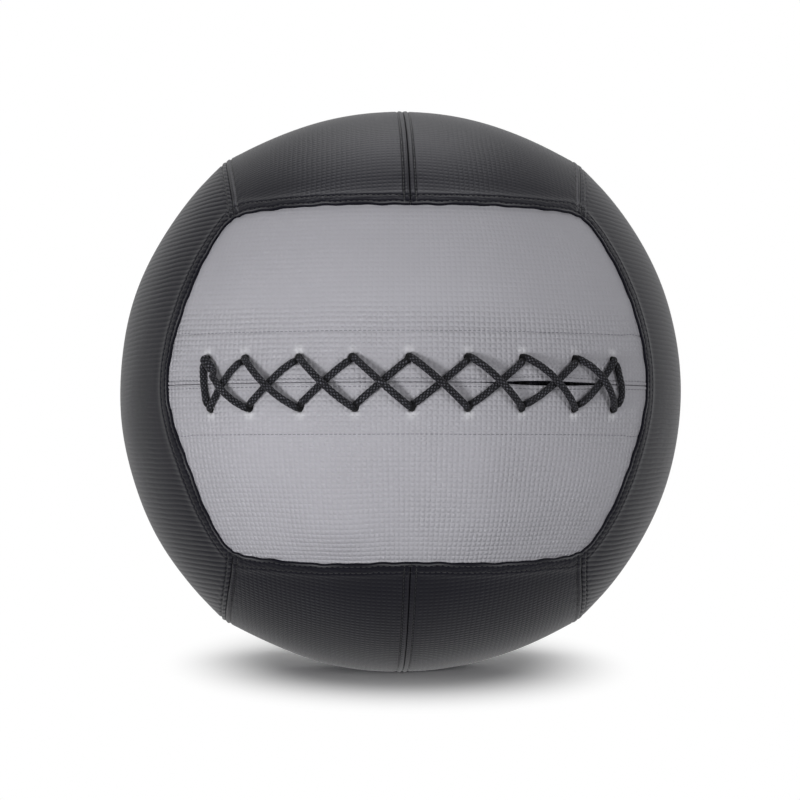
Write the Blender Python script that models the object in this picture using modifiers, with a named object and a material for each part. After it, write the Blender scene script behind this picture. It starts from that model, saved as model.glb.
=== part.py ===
"""Wall ball: a stuffed ball of twelve sewn panels with a laced slit, resting on a small flat.

Metres, +Z up. The origin is on the floor, below the middle of the ball's overall size with its
lace. The laced grey face looks to -Y, and +X is to its right. A place on the ball is given on one
of its six faces, by a share u along the face's two panels and a share v across them, both from
-1 to 1.
"""
import math

import bmesh
import bpy
import numpy as np
from mathutils import Matrix, Vector

# The ball as a whole.
FACE_RADIUS = 0.176
SEAM_RISE = 0.005
REST_DEPTH = 0.002
SEAM_ANGLE = math.radians(37.3)
CROWN_POWER = 2.2
LAP_WIDTH = 0.0085
FIT = 0.0003

# A panel of coated cloth, with its edges turned in along the seams.
SKIN = 0.0012
SEAM_DIP = 0.0012
SEAM_SHOULDER = 0.004
PANEL_CELLS = 8
REST_LENGTH_SHARE = 0.53
REST_WIDTH_SHARE = 0.75

# The padding sewn behind each panel, and the slit along the middle of the grey face.
FOAM = 0.005
STRIP = 0.0015
STRIP_WIDTH = 0.029
TONGUE = 0.0012
TONGUE_WIDTH = 0.048
TONGUE_LENGTH_SHARE = 0.92
GAPE = 0.0024
GAPE_MIDDLE_SHARE = 0.5
GAPE_REACH_SHARE = 0.25

# The lace and its holes, nine above the slit and nine below.
LACE_RADIUS = 0.002
LACE_CLEARANCE = 0.0004
SQUEEZE_SHARE = 0.8
UPPER_HOLE_SHARES = (-0.8, -0.635, -0.42, -0.22, -0.015, 0.2, 0.41, 0.63, 0.815)
LOWER_HOLE_SHARES = (-0.785, -0.61, -0.41, -0.205, 0, 0.205, 0.41, 0.63, 0.815)
HOLE_OFFSET = 0.0128
HOLE_LEAN = 0.001
HOLE_SIDES = 12
CUT_OVERRUN = 0.002
STRAND_BELLY = 0.0015
LEFT_BELLY = 0.001
RIGHT_BELLY = 0.0026
BELLY_LEAN_SHARE = 1.2
SIDE_TURN_SHARE = 0.3
PLAIN_SHARES = (0.25, 0.5, 0.75)
CROSSING_SHARES = (0.2, 0.35, 0.5, 0.65, 0.8)
KNOT_WIDTH_SHARE = 1.4
KNOT_LENGTH = 0.010
KNOT_LIFT = 0.0003
KNOT_SHARES = ((1.1, 1.0), (0.7, 1.4), (0.1, 1.4), (-0.15, 0.9))
TAIL_LENGTH = 0.010
LACE_SAMPLES = 5

# The weighted bag in the middle of the stuffing, tied at its neck.
CORE_RADIUS = 0.058
BAG_WALL = 0.001
NECK_RADIUS = 0.009
NECK_LENGTH = 0.012
MOUTH_RADIUS = 0.014
MOUTH_LENGTH = 0.010
TIE_RADIUS = 0.0015
CORE_SIDES = 16
CORE_RINGS = 8
TIE_SIDES = 8

# Depths below the outer surface, from the outside in.
HALF_FIT = FIT / 2
UNDER_SKIN = SKIN + FIT
UNDER_FOAM = UNDER_SKIN + FOAM
UNDER_STRIP = UNDER_SKIN + STRIP
STUFFING_DEPTH = UNDER_FOAM + FIT
LACE_IN_HOLE = LACE_RADIUS * SQUEEZE_SHARE
LACE_RUN_DEPTH = UNDER_STRIP + LACE_CLEARANCE + LACE_IN_HOLE
TONGUE_DEPTH = LACE_RUN_DEPTH + LACE_IN_HOLE + LACE_CLEARANCE
UNDER_TONGUE = TONGUE_DEPTH + TONGUE

# Two squeezed strands share a hole, one above the other, and lie side by side underneath.
HOLE_RADIUS = LACE_IN_HOLE + LACE_CLEARANCE
STRAND_STEP = 2 * LACE_IN_HOLE + 3 * LACE_CLEARANCE
SIDE_STEP = 2 * LACE_IN_HOLE + 3 * LACE_CLEARANCE
CROSSING_LIFT = 2 * LACE_RADIUS + 2 * LACE_CLEARANCE
TAIL_DIRECTION = Vector((-1, 0.5)).normalized()
HOLE_COUNT = len(UPPER_HOLE_SHARES)
LAST_HOLE = HOLE_COUNT - 1
NEAR, FAR = -1, 1

# What lies inside a turned-in edge keeps this far from the seam, and dips with the skin there.
SEAM_MARGIN = HALF_FIT + SKIN + FIT
MARGIN_DIP = SEAM_DIP * (SEAM_SHOULDER - SEAM_MARGIN) / (SEAM_SHOULDER - HALF_FIT)

# The flat patch under the ball, and the panel lines laid out inside it.
REST_RADIUS = math.sqrt(FACE_RADIUS ** 2 - (FACE_RADIUS - REST_DEPTH) ** 2)
REST_LENGTH = REST_RADIUS * REST_LENGTH_SHARE
REST_WIDTH = REST_RADIUS * REST_WIDTH_SHARE

LACE_TOP = 2 * LACE_RADIUS + LACE_CLEARANCE + CROSSING_LIFT
CENTRE = Vector((0, LACE_TOP / 2, FACE_RADIUS - REST_DEPTH))
CORNER = 1 / math.sqrt(3)
END_ANGLE = math.pi / 2 - SEAM_ANGLE
STEP_SHARE = 0.01
SLIT_STEPS = 40
SMOOTH_ANGLE = math.radians(40)

X, Y, Z = Vector((1, 0, 0)), Vector((0, 1, 0)), Vector((0, 0, 1))
FRONT = (-Y, X, Z)
BOTTOM = (-Z, Y, X)

# Each face: its outward direction, the way its panels run and the way across them, and the
# names of its two halves, the one that the way across points to first.
FACES = {
    "front": (FRONT, ("upper", "lower")),
    "back": ((Y, -X, Z), ("upper", "lower")),
    "top": ((Z, -Y, X), ("right", "left")),
    "bottom": (BOTTOM, ("right", "left")),
    "right": ((X, Z, -Y), ("front", "rear")),
    "left": ((-X, Z, Y), ("rear", "front")),
}


def seam_point(outward, along, toward, share):
    """A seam on a ball of radius one: it bows out toward the face whose ends it closes."""
    middle = math.sin(SEAM_ANGLE)
    height = middle + (CORNER - middle) * share ** 2
    turn = share * math.pi / 4
    level = (outward * math.cos(turn) + along * math.sin(turn)) * math.sqrt(1 - height ** 2)
    return level + toward * height


def drawn_in(direction):
    """The black panels lap over the grey face, which draws its seams in toward its middle."""
    outward = FRONT[0]
    depth = direction.dot(outward)
    aside = direction - outward * depth
    if depth <= 0 or aside.length == 0:
        return direction
    angle = math.atan2(aside.length, depth)
    angle -= LAP_WIDTH / (FACE_RADIUS + SEAM_RISE) * math.sin(2 * angle)
    return outward * math.cos(angle) + aside.normalized() * math.sin(angle)


def ball_direction(face, u, v):
    """A face is a patch spanned between its four seams and pushed out onto the ball."""
    outward, along, across = face
    p = math.tan(END_ANGLE * u) / math.tan(END_ANGLE)
    q = math.tan(SEAM_ANGLE * v) / math.tan(SEAM_ANGLE)
    point = seam_point(outward, along, across, u) * (1 + q) / 2
    point += seam_point(outward, along, -across, u) * (1 - q) / 2
    point += seam_point(along, across, outward, v) * (1 + p) / 2
    point += seam_point(-along, across, outward, v) * (1 - p) / 2
    for a in (-1, 1):
        for b in (-1, 1):
            corner = (outward + along * a + across * b) * CORNER
            point -= corner * (1 + a * p) * (1 + b * q) / 4
    return drawn_in(point.normalized())


def on_ball(face, u, v, depth):
    """A point below the outer surface, and as high above the floor where the ball is flat."""
    crown = (1 - abs(u) ** CROWN_POWER) * (1 - abs(v) ** CROWN_POWER)
    radius = FACE_RADIUS + SEAM_RISE * (1 - crown) - depth
    point = CENTRE + ball_direction(face, u, v) * radius
    point.z = max(point.z, depth)
    return point


# Places along the slit, as distances over the ball from its middle and as shares.
SLIT_SHARES = [k / SLIT_STEPS for k in range(-SLIT_STEPS, SLIT_STEPS + 1)]
SLIT_PLACES = [FACE_RADIUS * math.asin(ball_direction(FRONT, u, 0).x) for u in SLIT_SHARES]


def line_rate(face, share, other, across):
    """Metres between two near lines of a face, per share, where they cross a line the other way."""
    def place(own, beside):
        return on_ball(face, beside, own, 0) if across else on_ball(face, own, beside, 0)

    inner = share - math.copysign(STEP_SHARE, share) if share else STEP_SHARE
    beside = other - math.copysign(STEP_SHARE, other)
    offset = place(inner, other) - place(share, other)
    line = (place(share, beside) - place(share, other)).normalized()
    return (offset - line * offset.dot(line)).length / STEP_SHARE


def gape(u):
    """Half the opening of the slit, which gapes on the right of the grey face's middle."""
    reach = (u - GAPE_MIDDLE_SHARE) / GAPE_REACH_SHARE
    return GAPE / 2 * math.cos(math.pi / 2 * reach) ** 2 if abs(reach) < 1 else 0


def line_share(face, line, other, across):
    """A line is a share and a distance from there. Lines beside the slit open with it."""
    share, distance = line
    if distance == 0:
        return share
    if across and share == 0 and face is FRONT:
        distance += math.copysign(gape(other), distance)
    return share + distance / line_rate(face, share, other, across)


def at_lines(face, u_line, v_line, depth):
    """The point where two lines of a face cross."""
    u = line_share(face, u_line, v_line[0], False)
    v = line_share(face, v_line, u_line[0], True)
    return on_ball(face, u, v, depth)


def between(first, last, cells=PANEL_CELLS):
    """The even lines of a face that lie between two shares."""
    shares = [2 * k / cells for k in range(-cells, cells)]
    return [(share, 0) for share in shares if first < share < last]


def mirrored(lines):
    """The same lines on the other half of a face, still in rising order."""
    return [(-share, -distance) for share, distance in reversed(lines)]


def on_half(half, lines):
    """Lines of a face's first half, laid out on its first or its second half."""
    return mirrored(lines) if half else lines


def material(name, colour, roughness):
    """A plain finish, from a colour written in shares of screen red, green and blue."""
    made = bpy.data.materials.new(name)
    made.use_nodes = True
    shader = made.node_tree.nodes["Principled BSDF"]
    linear = [((share + 0.055) / 1.055) ** 2.4 for share in colour]
    shader.inputs["Base Color"].default_value = (*linear, 1)
    shader.inputs["Roughness"].default_value = roughness
    shader.inputs["Metallic"].default_value = 0
    made.diffuse_color = (*linear, 1)
    return made


def clear_scene():
    """Starts from an empty scene, with one collection for the ball and one for its cutters."""
    for item in list(bpy.data.objects):
        bpy.data.objects.remove(item, do_unlink=True)
    made = []
    for name in ("wall_ball", "cutters"):
        collection = bpy.data.collections.new(name)
        bpy.context.scene.collection.children.link(collection)
        made.append(collection)
    return made


BALL, CUTTERS = clear_scene()

BLACK_HIDE = material("black_leatherette", (0.17, 0.17, 0.18), 0.5)
GREY_HIDE = material("grey_leatherette", (0.60, 0.60, 0.63), 0.45)
FOAM_SHEET = material("padding_foam", (0.32, 0.33, 0.35), 0.9)
WEBBING = material("reinforcement_webbing", (0.40, 0.40, 0.42), 0.8)
LACE_BRAID = material("black_lace", (0.09, 0.09, 0.10), 0.75)
TEXTILE = material("textile_stuffing", (0.55, 0.52, 0.48), 0.95)
BAG_CLOTH = material("core_bag_cloth", (0.80, 0.78, 0.72), 0.85)
IRON_SAND = material("iron_sand", (0.20, 0.19, 0.18), 0.7)
TIE_NYLON = material("tie_nylon", (0.85, 0.85, 0.85), 0.5)


def finished(name, mesh, finish):
    """A piece of the ball, shaded smooth, from its mesh or curve and its finish."""
    item = bpy.data.objects.new(name, mesh)
    mesh.materials.append(finish)
    if isinstance(mesh, bpy.types.Mesh):
        mesh.shade_smooth()
        mesh.set_sharp_from_angle(angle=SMOOTH_ANGLE)
    BALL.objects.link(item)
    return item


def cutter(name, mesh):
    """A solid that only cuts others, drawn as a wire."""
    item = bpy.data.objects.new(name, mesh)
    item.hide_render = True
    item.display_type = "WIRE"
    CUTTERS.objects.link(item)
    return item


def cut(item, *tools):
    """Takes the cutters' shapes out of a piece."""
    for tool in tools:
        boolean = item.modifiers.new(tool.name, "BOOLEAN")
        boolean.operation = "DIFFERENCE"
        boolean.solver = "EXACT"
        boolean.object = tool


def solidify(item, thickness):
    """Gives an open surface its wall, on its inner side."""
    wall = item.modifiers.new("wall", "SOLIDIFY")
    wall.thickness = thickness
    wall.offset = -1
    wall.use_even_offset = True
    wall.use_quality_normals = True


def into_mesh(name, shape):
    """Hands a modelled shape over as mesh data.

    Bent quads are split along their shorter diagonal, alike in the sheets that lie on each other.
    """
    bmesh.ops.triangulate(shape, faces=shape.faces, quad_method="SHORT_EDGE")
    mesh = bpy.data.meshes.new(name)
    shape.to_mesh(mesh)
    shape.free()
    return mesh


def grid_over(columns, rows):
    """A flat grid with this many lines each way, to be bent over the ball."""
    shape = bmesh.new()
    bmesh.ops.create_grid(shape, x_segments=columns - 1, y_segments=rows - 1, size=1)
    return shape


def spot(vertex, columns, rows):
    """The numbers of the column and row that a vertex of the flat grid lies on."""
    return round((vertex.co.x + 1) / 2 * (columns - 1)), round((vertex.co.y + 1) / 2 * (rows - 1))


def by_seam(face, line, across):
    """Whether a line runs close beside a seam. The slit down the grey face is none."""
    share, distance = line
    if distance == 0 or abs(distance) > SEAM_MARGIN:
        return False
    return abs(share) == 1 or across and face is not FRONT


def dip_at(face, u_line, v_line, dip):
    """How far the skin, or a sheet under it, dips where two lines cross."""
    seams = [by_seam(face, u_line, False), by_seam(face, v_line, True)]
    if all(seams):
        return SEAM_DIP
    return dip if any(seams) else 0


def tray(name, face, u_lines, v_lines, wall_depth):
    """A panel: a grid bent over the ball, whose outermost lines are turned in as a wall.

    The first two and the last two lines each way share a place, one of them below the other.
    """
    columns, rows = len(u_lines), len(v_lines)
    shape = grid_over(columns, rows)
    corners = []
    for vertex in shape.verts:
        i, j = spot(vertex, columns, rows)
        depth = dip_at(face, u_lines[i], v_lines[j], SEAM_DIP)
        if i in (0, columns - 1) or j in (0, rows - 1):
            depth = wall_depth
        if i in (0, columns - 1) and j in (0, rows - 1):
            corners.extend(vertex.link_faces)
        vertex.co = at_lines(face, u_lines[i], v_lines[j], depth)
    bmesh.ops.delete(shape, geom=corners, context="FACES_ONLY")
    bmesh.ops.remove_doubles(shape, verts=shape.verts, dist=HALF_FIT / 10)
    return into_mesh(name, shape)


def slab(name, face, u_lines, v_lines, top, bottom):
    """A bent sheet between two depths, thinner where the skin above it dips to a seam."""
    columns, rows = len(u_lines), len(v_lines)
    shape = grid_over(columns, rows)
    lifted = bmesh.ops.extrude_face_region(shape, geom=shape.faces[:], use_keep_orig=True)
    upper = {part for part in lifted["geom"] if isinstance(part, bmesh.types.BMVert)}
    for vertex in shape.verts:
        i, j = spot(vertex, columns, rows)
        depth = bottom
        if vertex in upper:
            depth = top + dip_at(face, u_lines[i], v_lines[j], MARGIN_DIP)
        vertex.co = at_lines(face, u_lines[i], v_lines[j], depth)
    bmesh.ops.recalc_face_normals(shape, faces=shape.faces)
    return into_mesh(name, shape)


def folded(lines):
    """Adds the second line of each turned-in edge."""
    return [lines[0], *lines, lines[-1]]


def slit_lines(lines):
    """The same lines, and those that the lace's holes lie on beside the slit."""
    added = [(0, HOLE_OFFSET)]
    if lines[0][0] < 0:
        added += mirrored(added)
    return sorted(lines + added)


def half_lines(face, half, margins):
    """The lines of one half of a face, both ways, as they rise from the face's middle.

    The halves that the slit's ends run into have the same lines as the grey ones there.
    """
    ends = [(-1, margin) for margin in margins] + between(-1, 1)
    ends += [(1, -margin) for margin in reversed(margins)]
    sides = [(0, margin) for margin in margins] + between(0, 1)
    sides += [(1, -margin) for margin in reversed(margins)]
    if face is BOTTOM:
        ends = sorted([*ends, (0, -REST_LENGTH), (0, REST_LENGTH)])
        sides = sorted([*sides, (0, REST_WIDTH)])
    if face is FRONT:
        sides = slit_lines(sides)
    if face[2] * (1 - 2 * half) == FRONT[0]:
        ends = slit_lines(ends)
    return ends, sides


def add_panel(face_name, half):
    """One of the twelve panels of coated cloth, black but for the two of the grey face."""
    face, names = FACES[face_name]
    ends, sides = half_lines(face, half, [HALF_FIT, SEAM_SHOULDER])
    name = f"{face_name}_{names[half]}_panel"
    depth = UNDER_STRIP if face is FRONT else UNDER_FOAM
    mesh = tray(name, face, folded(ends), folded(on_half(half, sides)), depth)
    panel = finished(name, mesh, GREY_HIDE if face is FRONT else BLACK_HIDE)
    solidify(panel, SKIN)
    return panel


def add_pad(face_name, half):
    """The foam pad behind a panel. On the grey face it begins beside the slit's strip."""
    face, names = FACES[face_name]
    ends, sides = half_lines(face, half, [SEAM_MARGIN])
    if face is FRONT:
        sides = [(0, STRIP_WIDTH + FIT)] + [line for line in sides if line[0] > 2 / PANEL_CELLS]
    name = f"{face_name}_{names[half]}_foam"
    mesh = slab(name, face, ends, on_half(half, sides), UNDER_SKIN, UNDER_FOAM)
    finished(name, mesh, FOAM_SHEET)


def add_strip(half):
    """The webbing sewn behind a lip of the slit, which carries the lace's pull."""
    ends, _ = half_lines(FRONT, half, [SEAM_MARGIN])
    sides = on_half(half, [(0, SEAM_MARGIN), (0, HOLE_OFFSET), (0, STRIP_WIDTH)])
    name = FACES["front"][1][half] + "_lacing_strip"
    return finished(name, slab(name, FRONT, ends, sides, UNDER_SKIN, UNDER_STRIP), WEBBING)


def tongue_slab(name, growth, top, bottom):
    """The tongue's own shape, or with some growth the pocket that it lies in."""
    reach = TONGUE_LENGTH_SHARE
    ends = [(-reach, -growth), *between(-reach, reach), (reach, growth)]
    side = TONGUE_WIDTH / 2 + growth
    return slab(name, FRONT, ends, [(0, -side), (0, side)], top, bottom)


def hole_place(hole, row, part):
    """Where a strand goes through: the hole's distance along the slit, and its own from it.

    Two strands share a hole, the near one and the far one, and lean away from each other.
    """
    along = (LOWER_HOLE_SHARES if row < 0 else UPPER_HOLE_SHARES)[hole] * SLIT_PLACES[-1]
    lean = -HOLE_LEAN if hole * 2 == LAST_HOLE * (1 + row) else HOLE_LEAN
    return Vector((along + row * part * lean, row * (HOLE_OFFSET + part * STRAND_STEP / 2)))


def beside_slit(along, aside, height):
    """A point over the grey face, by its distances along and aside from the slit's middle.

    Below the skin it lies off the flat cells that the face is made of, not off the true ball.
    """
    def at_share(u):
        return on_ball(FRONT, u, aside / line_rate(FRONT, 0, u, True), -height)

    u = float(np.interp(along, SLIT_PLACES, SLIT_SHARES))
    if height >= 0:
        return at_share(u)
    cell, inside = divmod(u * PANEL_CELLS / 2, 1)
    return at_share(cell * 2 / PANEL_CELLS).lerp(at_share((cell + 1) * 2 / PANEL_CELLS), inside)


def hole_cutter(row):
    """One row of lace holes, each a slot that two squeezed strands fill."""
    shape = bmesh.new()
    for hole in range(HOLE_COUNT):
        near = beside_slit(*hole_place(hole, row, NEAR), -UNDER_STRIP / 2)
        far = beside_slit(*hole_place(hole, row, FAR), -UNDER_STRIP / 2)
        outward = ((near + far) / 2 - CENTRE).normalized()
        long = (far - near).normalized()
        turn = Matrix((long.cross(outward), long, outward)).transposed()
        made = bmesh.ops.create_cone(
            shape, cap_ends=True, segments=HOLE_SIDES, radius1=HOLE_RADIUS, radius2=HOLE_RADIUS,
            depth=UNDER_STRIP + 2 * CUT_OVERRUN,
            matrix=Matrix.Rotation(math.pi / HOLE_SIDES, 4, "Z"))
        for vertex in made["verts"]:
            vertex.co.y += math.copysign((far - near).length / 2, vertex.co.y)
            vertex.co = turn @ vertex.co + (near + far) / 2
    return cutter("lower_holes" if row < 0 else "upper_holes", into_mesh("holes", shape))


def bend(rise):
    """A quarter turn over a hole's rim, as steps aside and up, from the hole outward."""
    angles = (0, math.pi / 4, math.pi / 2)
    return [(rise * (1 - math.cos(angle)), rise * math.sin(angle)) for angle in angles]


def passage(place, outside, inside):
    """A strand's way in at a hole, as points with distances along, aside and up and a width."""
    points = []
    widths = (SQUEEZE_SHARE, (1 + SQUEEZE_SHARE) / 2, 1)
    for (step, up), width in zip(bend(LACE_RADIUS + LACE_CLEARANCE), widths):
        points.insert(0, (*(place + outside * step), up, width))
    for step, down in bend(LACE_IN_HOLE + LACE_CLEARANCE):
        points.append((*(place + inside * step), -UNDER_STRIP - down, SQUEEZE_SHARE))
    return points


def strand(start, end, belly, lift):
    """A strand outside, from one hole up to another, bowed aside and lifted over a crossing.

    Gives its points, and the directions in which they leave the first hole and the second.
    """
    run = end - start
    aside = Vector((run.y, -run.x)).normalized() * belly
    lean = math.copysign(BELLY_LEAN_SHARE, belly if lift else -belly)

    def place(share):
        bow = math.sin(math.pi * share) * (1 + lean * (2 * share - 1))
        return start + run * share + aside * bow

    points = []
    for share in CROSSING_SHARES if lift else PLAIN_SHARES:
        height = LACE_RADIUS + LACE_CLEARANCE + lift * math.sin(math.pi * share)
        points.append((*place(share), height, 1))
    return points, (place(STEP_SHARE) - start).normalized(), (place(1 - STEP_SHARE) - end).normalized()


def under_run(high, low):
    """A strand inside, from an upper hole and part down to a lower one.

    A far strand goes down on the right of the near one. The last run keeps to its left.
    """
    top = hole_place(high[0], 1, NEAR)
    bottom = hole_place(low[0], -1, NEAR)
    if high[1] == FAR:
        top.x += SIDE_STEP
    if low[1] == FAR:
        bottom.x += -SIDE_STEP if high == (LAST_HOLE, NEAR) else SIDE_STEP
    places = [(top + bottom) / 2]
    reach = HOLE_OFFSET - STRAND_STEP
    turn = HOLE_OFFSET + STRAND_STEP * (1 / 2 - SIDE_TURN_SHARE)
    if high[1] == FAR:
        places = [Vector((top.x, turn)), Vector((top.x, reach)), *places]
    if low[1] == FAR:
        places += [Vector((bottom.x, -reach)), Vector((bottom.x, -turn))]
    return places


def strand_belly(hole):
    """The bow of a crossing strand: to the right on the ball's right, to the left on its left."""
    return STRAND_BELLY * ((2 * hole + 1) / LAST_HOLE - 1)


def stitches():
    """The lace's strands outside: a lower hole and part, an upper hole and part, belly, lift.

    It climbs the left end, crosses to and fro to the right end, climbs that, and comes back
    over its own strands.
    """
    order = [((0, NEAR), (0, NEAR), -LEFT_BELLY, 0)]
    for hole in range(LAST_HOLE):
        low_part = FAR if hole == 0 else NEAR
        high_part = FAR if hole + 1 == LAST_HOLE else NEAR
        order.append(((hole, low_part), (hole + 1, high_part), strand_belly(hole), 0))
    order.append(((LAST_HOLE, NEAR), (LAST_HOLE, NEAR), RIGHT_BELLY, 0))
    for hole in reversed(range(LAST_HOLE)):
        order.append(((hole + 1, FAR), (hole, FAR), strand_belly(hole), CROSSING_LIFT))
    return order


def lace_route():
    """The whole lace from its tucked-in tail to its knot."""
    order = stitches()
    inside = TAIL_DIRECTION
    tail = hole_place(0, -1, NEAR) + inside * TAIL_LENGTH
    points = [(*tail, -LACE_RUN_DEPTH, SQUEEZE_SHARE)]
    for number, (low, high, belly, lift) in enumerate(order):
        low_place = hole_place(low[0], -1, low[1])
        high_place = hole_place(high[0], 1, high[1])
        over, leaving, arriving = strand(low_place, high_place, belly, lift)
        points += reversed(passage(low_place, leaving, inside))
        if number + 1 == len(order):
            return points + knot(over, high_place, arriving)
        next_low = order[number + 1][0]
        next_place = hole_place(next_low[0], -1, next_low[1])
        under = under_run(high, next_low)
        points += over
        points += passage(high_place, arriving, (under[0] - high_place).normalized())
        points += [(*place, -LACE_RUN_DEPTH, SQUEEZE_SHARE) for place in under]
        inside = (under[-1] - next_place).normalized()


def knot(over, place, direction):
    """The thick knot that the lace ends in, lying over its last hole."""
    height = (LACE_RADIUS + LACE_CLEARANCE) * KNOT_WIDTH_SHARE + KNOT_LIFT
    points = over[:-1]
    for share, width in KNOT_SHARES:
        points.append((*(place + direction * KNOT_LENGTH * share), height, width))
    return points


def least_gap(places, radii):
    """The least gap between stretches of the lace that lie well apart along it."""
    shares = np.arange(LACE_SAMPLES) / LACE_SAMPLES
    steps = places[1:] - places[:-1]
    points = (places[:-1, None] + steps[:, None] * shares[:, None]).reshape(-1, 3)
    widths = (radii[:-1, None] + (radii[1:] - radii[:-1])[:, None] * shares).ravel()
    lengths = np.linalg.norm(points[1:] - points[:-1], axis=1)
    along = np.concatenate([[0], np.cumsum(lengths)])
    apart = np.linalg.norm(points[:, None] - points[None], axis=2) - widths[:, None] - widths
    far_along = abs(along[:, None] - along) > LACE_RADIUS * 6
    return apart[far_along].min(), along[-1]


def add_lace():
    """One unbroken lace, through all eighteen holes."""
    route = lace_route()
    places = [beside_slit(along, aside, up) for along, aside, up, _ in route]
    curve = bpy.data.curves.new("lace", "CURVE")
    curve.dimensions = "3D"
    curve.bevel_depth = LACE_RADIUS
    curve.bevel_resolution = 1
    curve.use_fill_caps = True
    spline = curve.splines.new("POLY")
    spline.points.add(len(route) - 1)
    for point, place, (*_, width) in zip(spline.points, places, route):
        point.co = (*place, 1)
        point.radius = width
    finished("lace", curve, LACE_BRAID)
    radii = np.array([width for *_, width in route]) * LACE_RADIUS
    gap, length = least_gap(np.array(places), radii)
    print(f"lace: {len(route)} points, {length:.3f} m long, least gap to itself {gap * 1000:.2f} mm")


def turned_object(name, outline, link, finish=None):
    """A turned shape about the ball's upright axis, from an outline that runs down its side."""
    mesh = bpy.data.meshes.new(name)
    points = [(radius, 0, height) for radius, height in outline]
    mesh.from_pydata(points, [(k, k + 1) for k in range(len(points) - 1)], [])
    item = link(name, mesh, finish) if finish else link(name, mesh)
    item.location = CENTRE
    screw = item.modifiers.new("turn", "SCREW")
    screw.steps = screw.render_steps = CORE_SIDES
    screw.use_merge_vertices = True
    screw.merge_threshold = HALF_FIT / 10
    screw.use_smooth_shade = True
    return item


def ring_points(radius):
    """The rings of a sphere from its uppermost down to the lower pole, as radius and height."""
    angles = [math.pi * ring / CORE_RINGS for ring in range(1, CORE_RINGS)]
    points = [(radius * math.sin(angle), radius * math.cos(angle)) for angle in angles]
    return [*points, (0, -radius)]


def add_core():
    """The cloth bag of iron sand, gathered at its neck and tied. Returns its pocket's cutter."""
    neck_base = math.sqrt(CORE_RADIUS ** 2 - NECK_RADIUS ** 2)
    neck_top = neck_base + NECK_LENGTH
    mouth_top = neck_top + MOUTH_LENGTH
    throat = [(MOUTH_RADIUS, mouth_top), (NECK_RADIUS, neck_top), (NECK_RADIUS, neck_base)]
    bag = turned_object("core_bag", throat + ring_points(CORE_RADIUS), finished, BAG_CLOTH)
    solidify(bag, BAG_WALL)

    below_top = ring_points(CORE_RADIUS - BAG_WALL - FIT)[1:]
    level = below_top[0][1]
    turned_object("core_fill", [(0, level), *below_top], finished, IRON_SAND)

    bpy.ops.mesh.primitive_torus_add(
        major_segments=CORE_SIDES, minor_segments=TIE_SIDES, minor_radius=TIE_RADIUS,
        major_radius=NECK_RADIUS + FIT + TIE_RADIUS,
        location=CENTRE + Z * (neck_base + NECK_LENGTH / 2))
    made = bpy.context.object
    tie = finished("core_tie", made.data, TIE_NYLON)
    tie.location = made.location
    bpy.data.objects.remove(made)

    well = max(MOUTH_RADIUS, NECK_RADIUS + FIT + 2 * TIE_RADIUS) + FIT
    well_top = mouth_top + BAG_WALL + FIT
    pocket_radius = CORE_RADIUS + FIT
    well_base = math.sqrt(pocket_radius ** 2 - well ** 2)
    outline = [(0, well_top), (well, well_top), (well, well_base)]
    return turned_object("core_pocket", outline + ring_points(pocket_radius), cutter)


def stuffing_blank(name):
    """The packed stuffing as one ball: a cube of many cells, bent over the six faces."""
    shape = bmesh.new()
    bmesh.ops.create_cube(shape, size=2)
    bmesh.ops.subdivide_edges(shape, edges=shape.edges, cuts=PANEL_CELLS - 1, use_grid_fill=True)
    for vertex in shape.verts:
        place = vertex.co.copy()
        for face, _ in FACES.values():
            outward, along, across = face
            if math.isclose(place.dot(outward), 1, abs_tol=STEP_SHARE):
                u, v = place.dot(along), place.dot(across)
                vertex.co = on_ball(face, u, v, STUFFING_DEPTH)
    return into_mesh(name, shape)


def add_stuffing(pockets):
    """The packed textile, in an upper and a lower half round the core and under the tongue."""
    for name, side in (("upper_stuffing", 1), ("lower_stuffing", -1)):
        half = finished(name, stuffing_blank(name), TEXTILE)
        shape = bmesh.new()
        bmesh.ops.create_cube(shape, size=FACE_RADIUS * 3)
        offset = Z * side * (HALF_FIT - FACE_RADIUS * 3 / 2)
        bmesh.ops.translate(shape, verts=shape.verts, vec=CENTRE + offset)
        other_half = cutter(name + "_end", into_mesh(name, shape))
        cut(half, other_half, *pockets)


def add_cover():
    """The panels with their foam, and the laced slit's strips and tongue."""
    front_panels = []
    for face_name, (face, _) in FACES.items():
        for half in (0, 1):
            panel = add_panel(face_name, half)
            add_pad(face_name, half)
            if face is FRONT:
                front_panels.append(panel)
    for half, row in ((0, 1), (1, -1)):
        holes = hole_cutter(row)
        cut(front_panels[half], holes)
        cut(add_strip(half), holes)
    finished("slit_tongue", tongue_slab("slit_tongue", 0, TONGUE_DEPTH, UNDER_TONGUE), BLACK_HIDE)
    pocket = tongue_slab("tongue_pocket", FIT, UNDER_STRIP, UNDER_TONGUE + FIT)
    return cutter("tongue_pocket", pocket)


tongue_pocket = add_cover()
add_lace()
core_pocket = add_core()
add_stuffing([core_pocket, tongue_pocket])
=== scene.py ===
# %% [markdown]
# # A wall ball, dressed for its picture
# A wall ball is a big soft ball that is thrown at a wall and caught. Twelve panels of coated cloth
# are sewn round packed textile and a bag of iron sand. The two grey panels in front meet at a slit
# that a braided lace closes. This file loads the ball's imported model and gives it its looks.

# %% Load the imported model
import math

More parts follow.
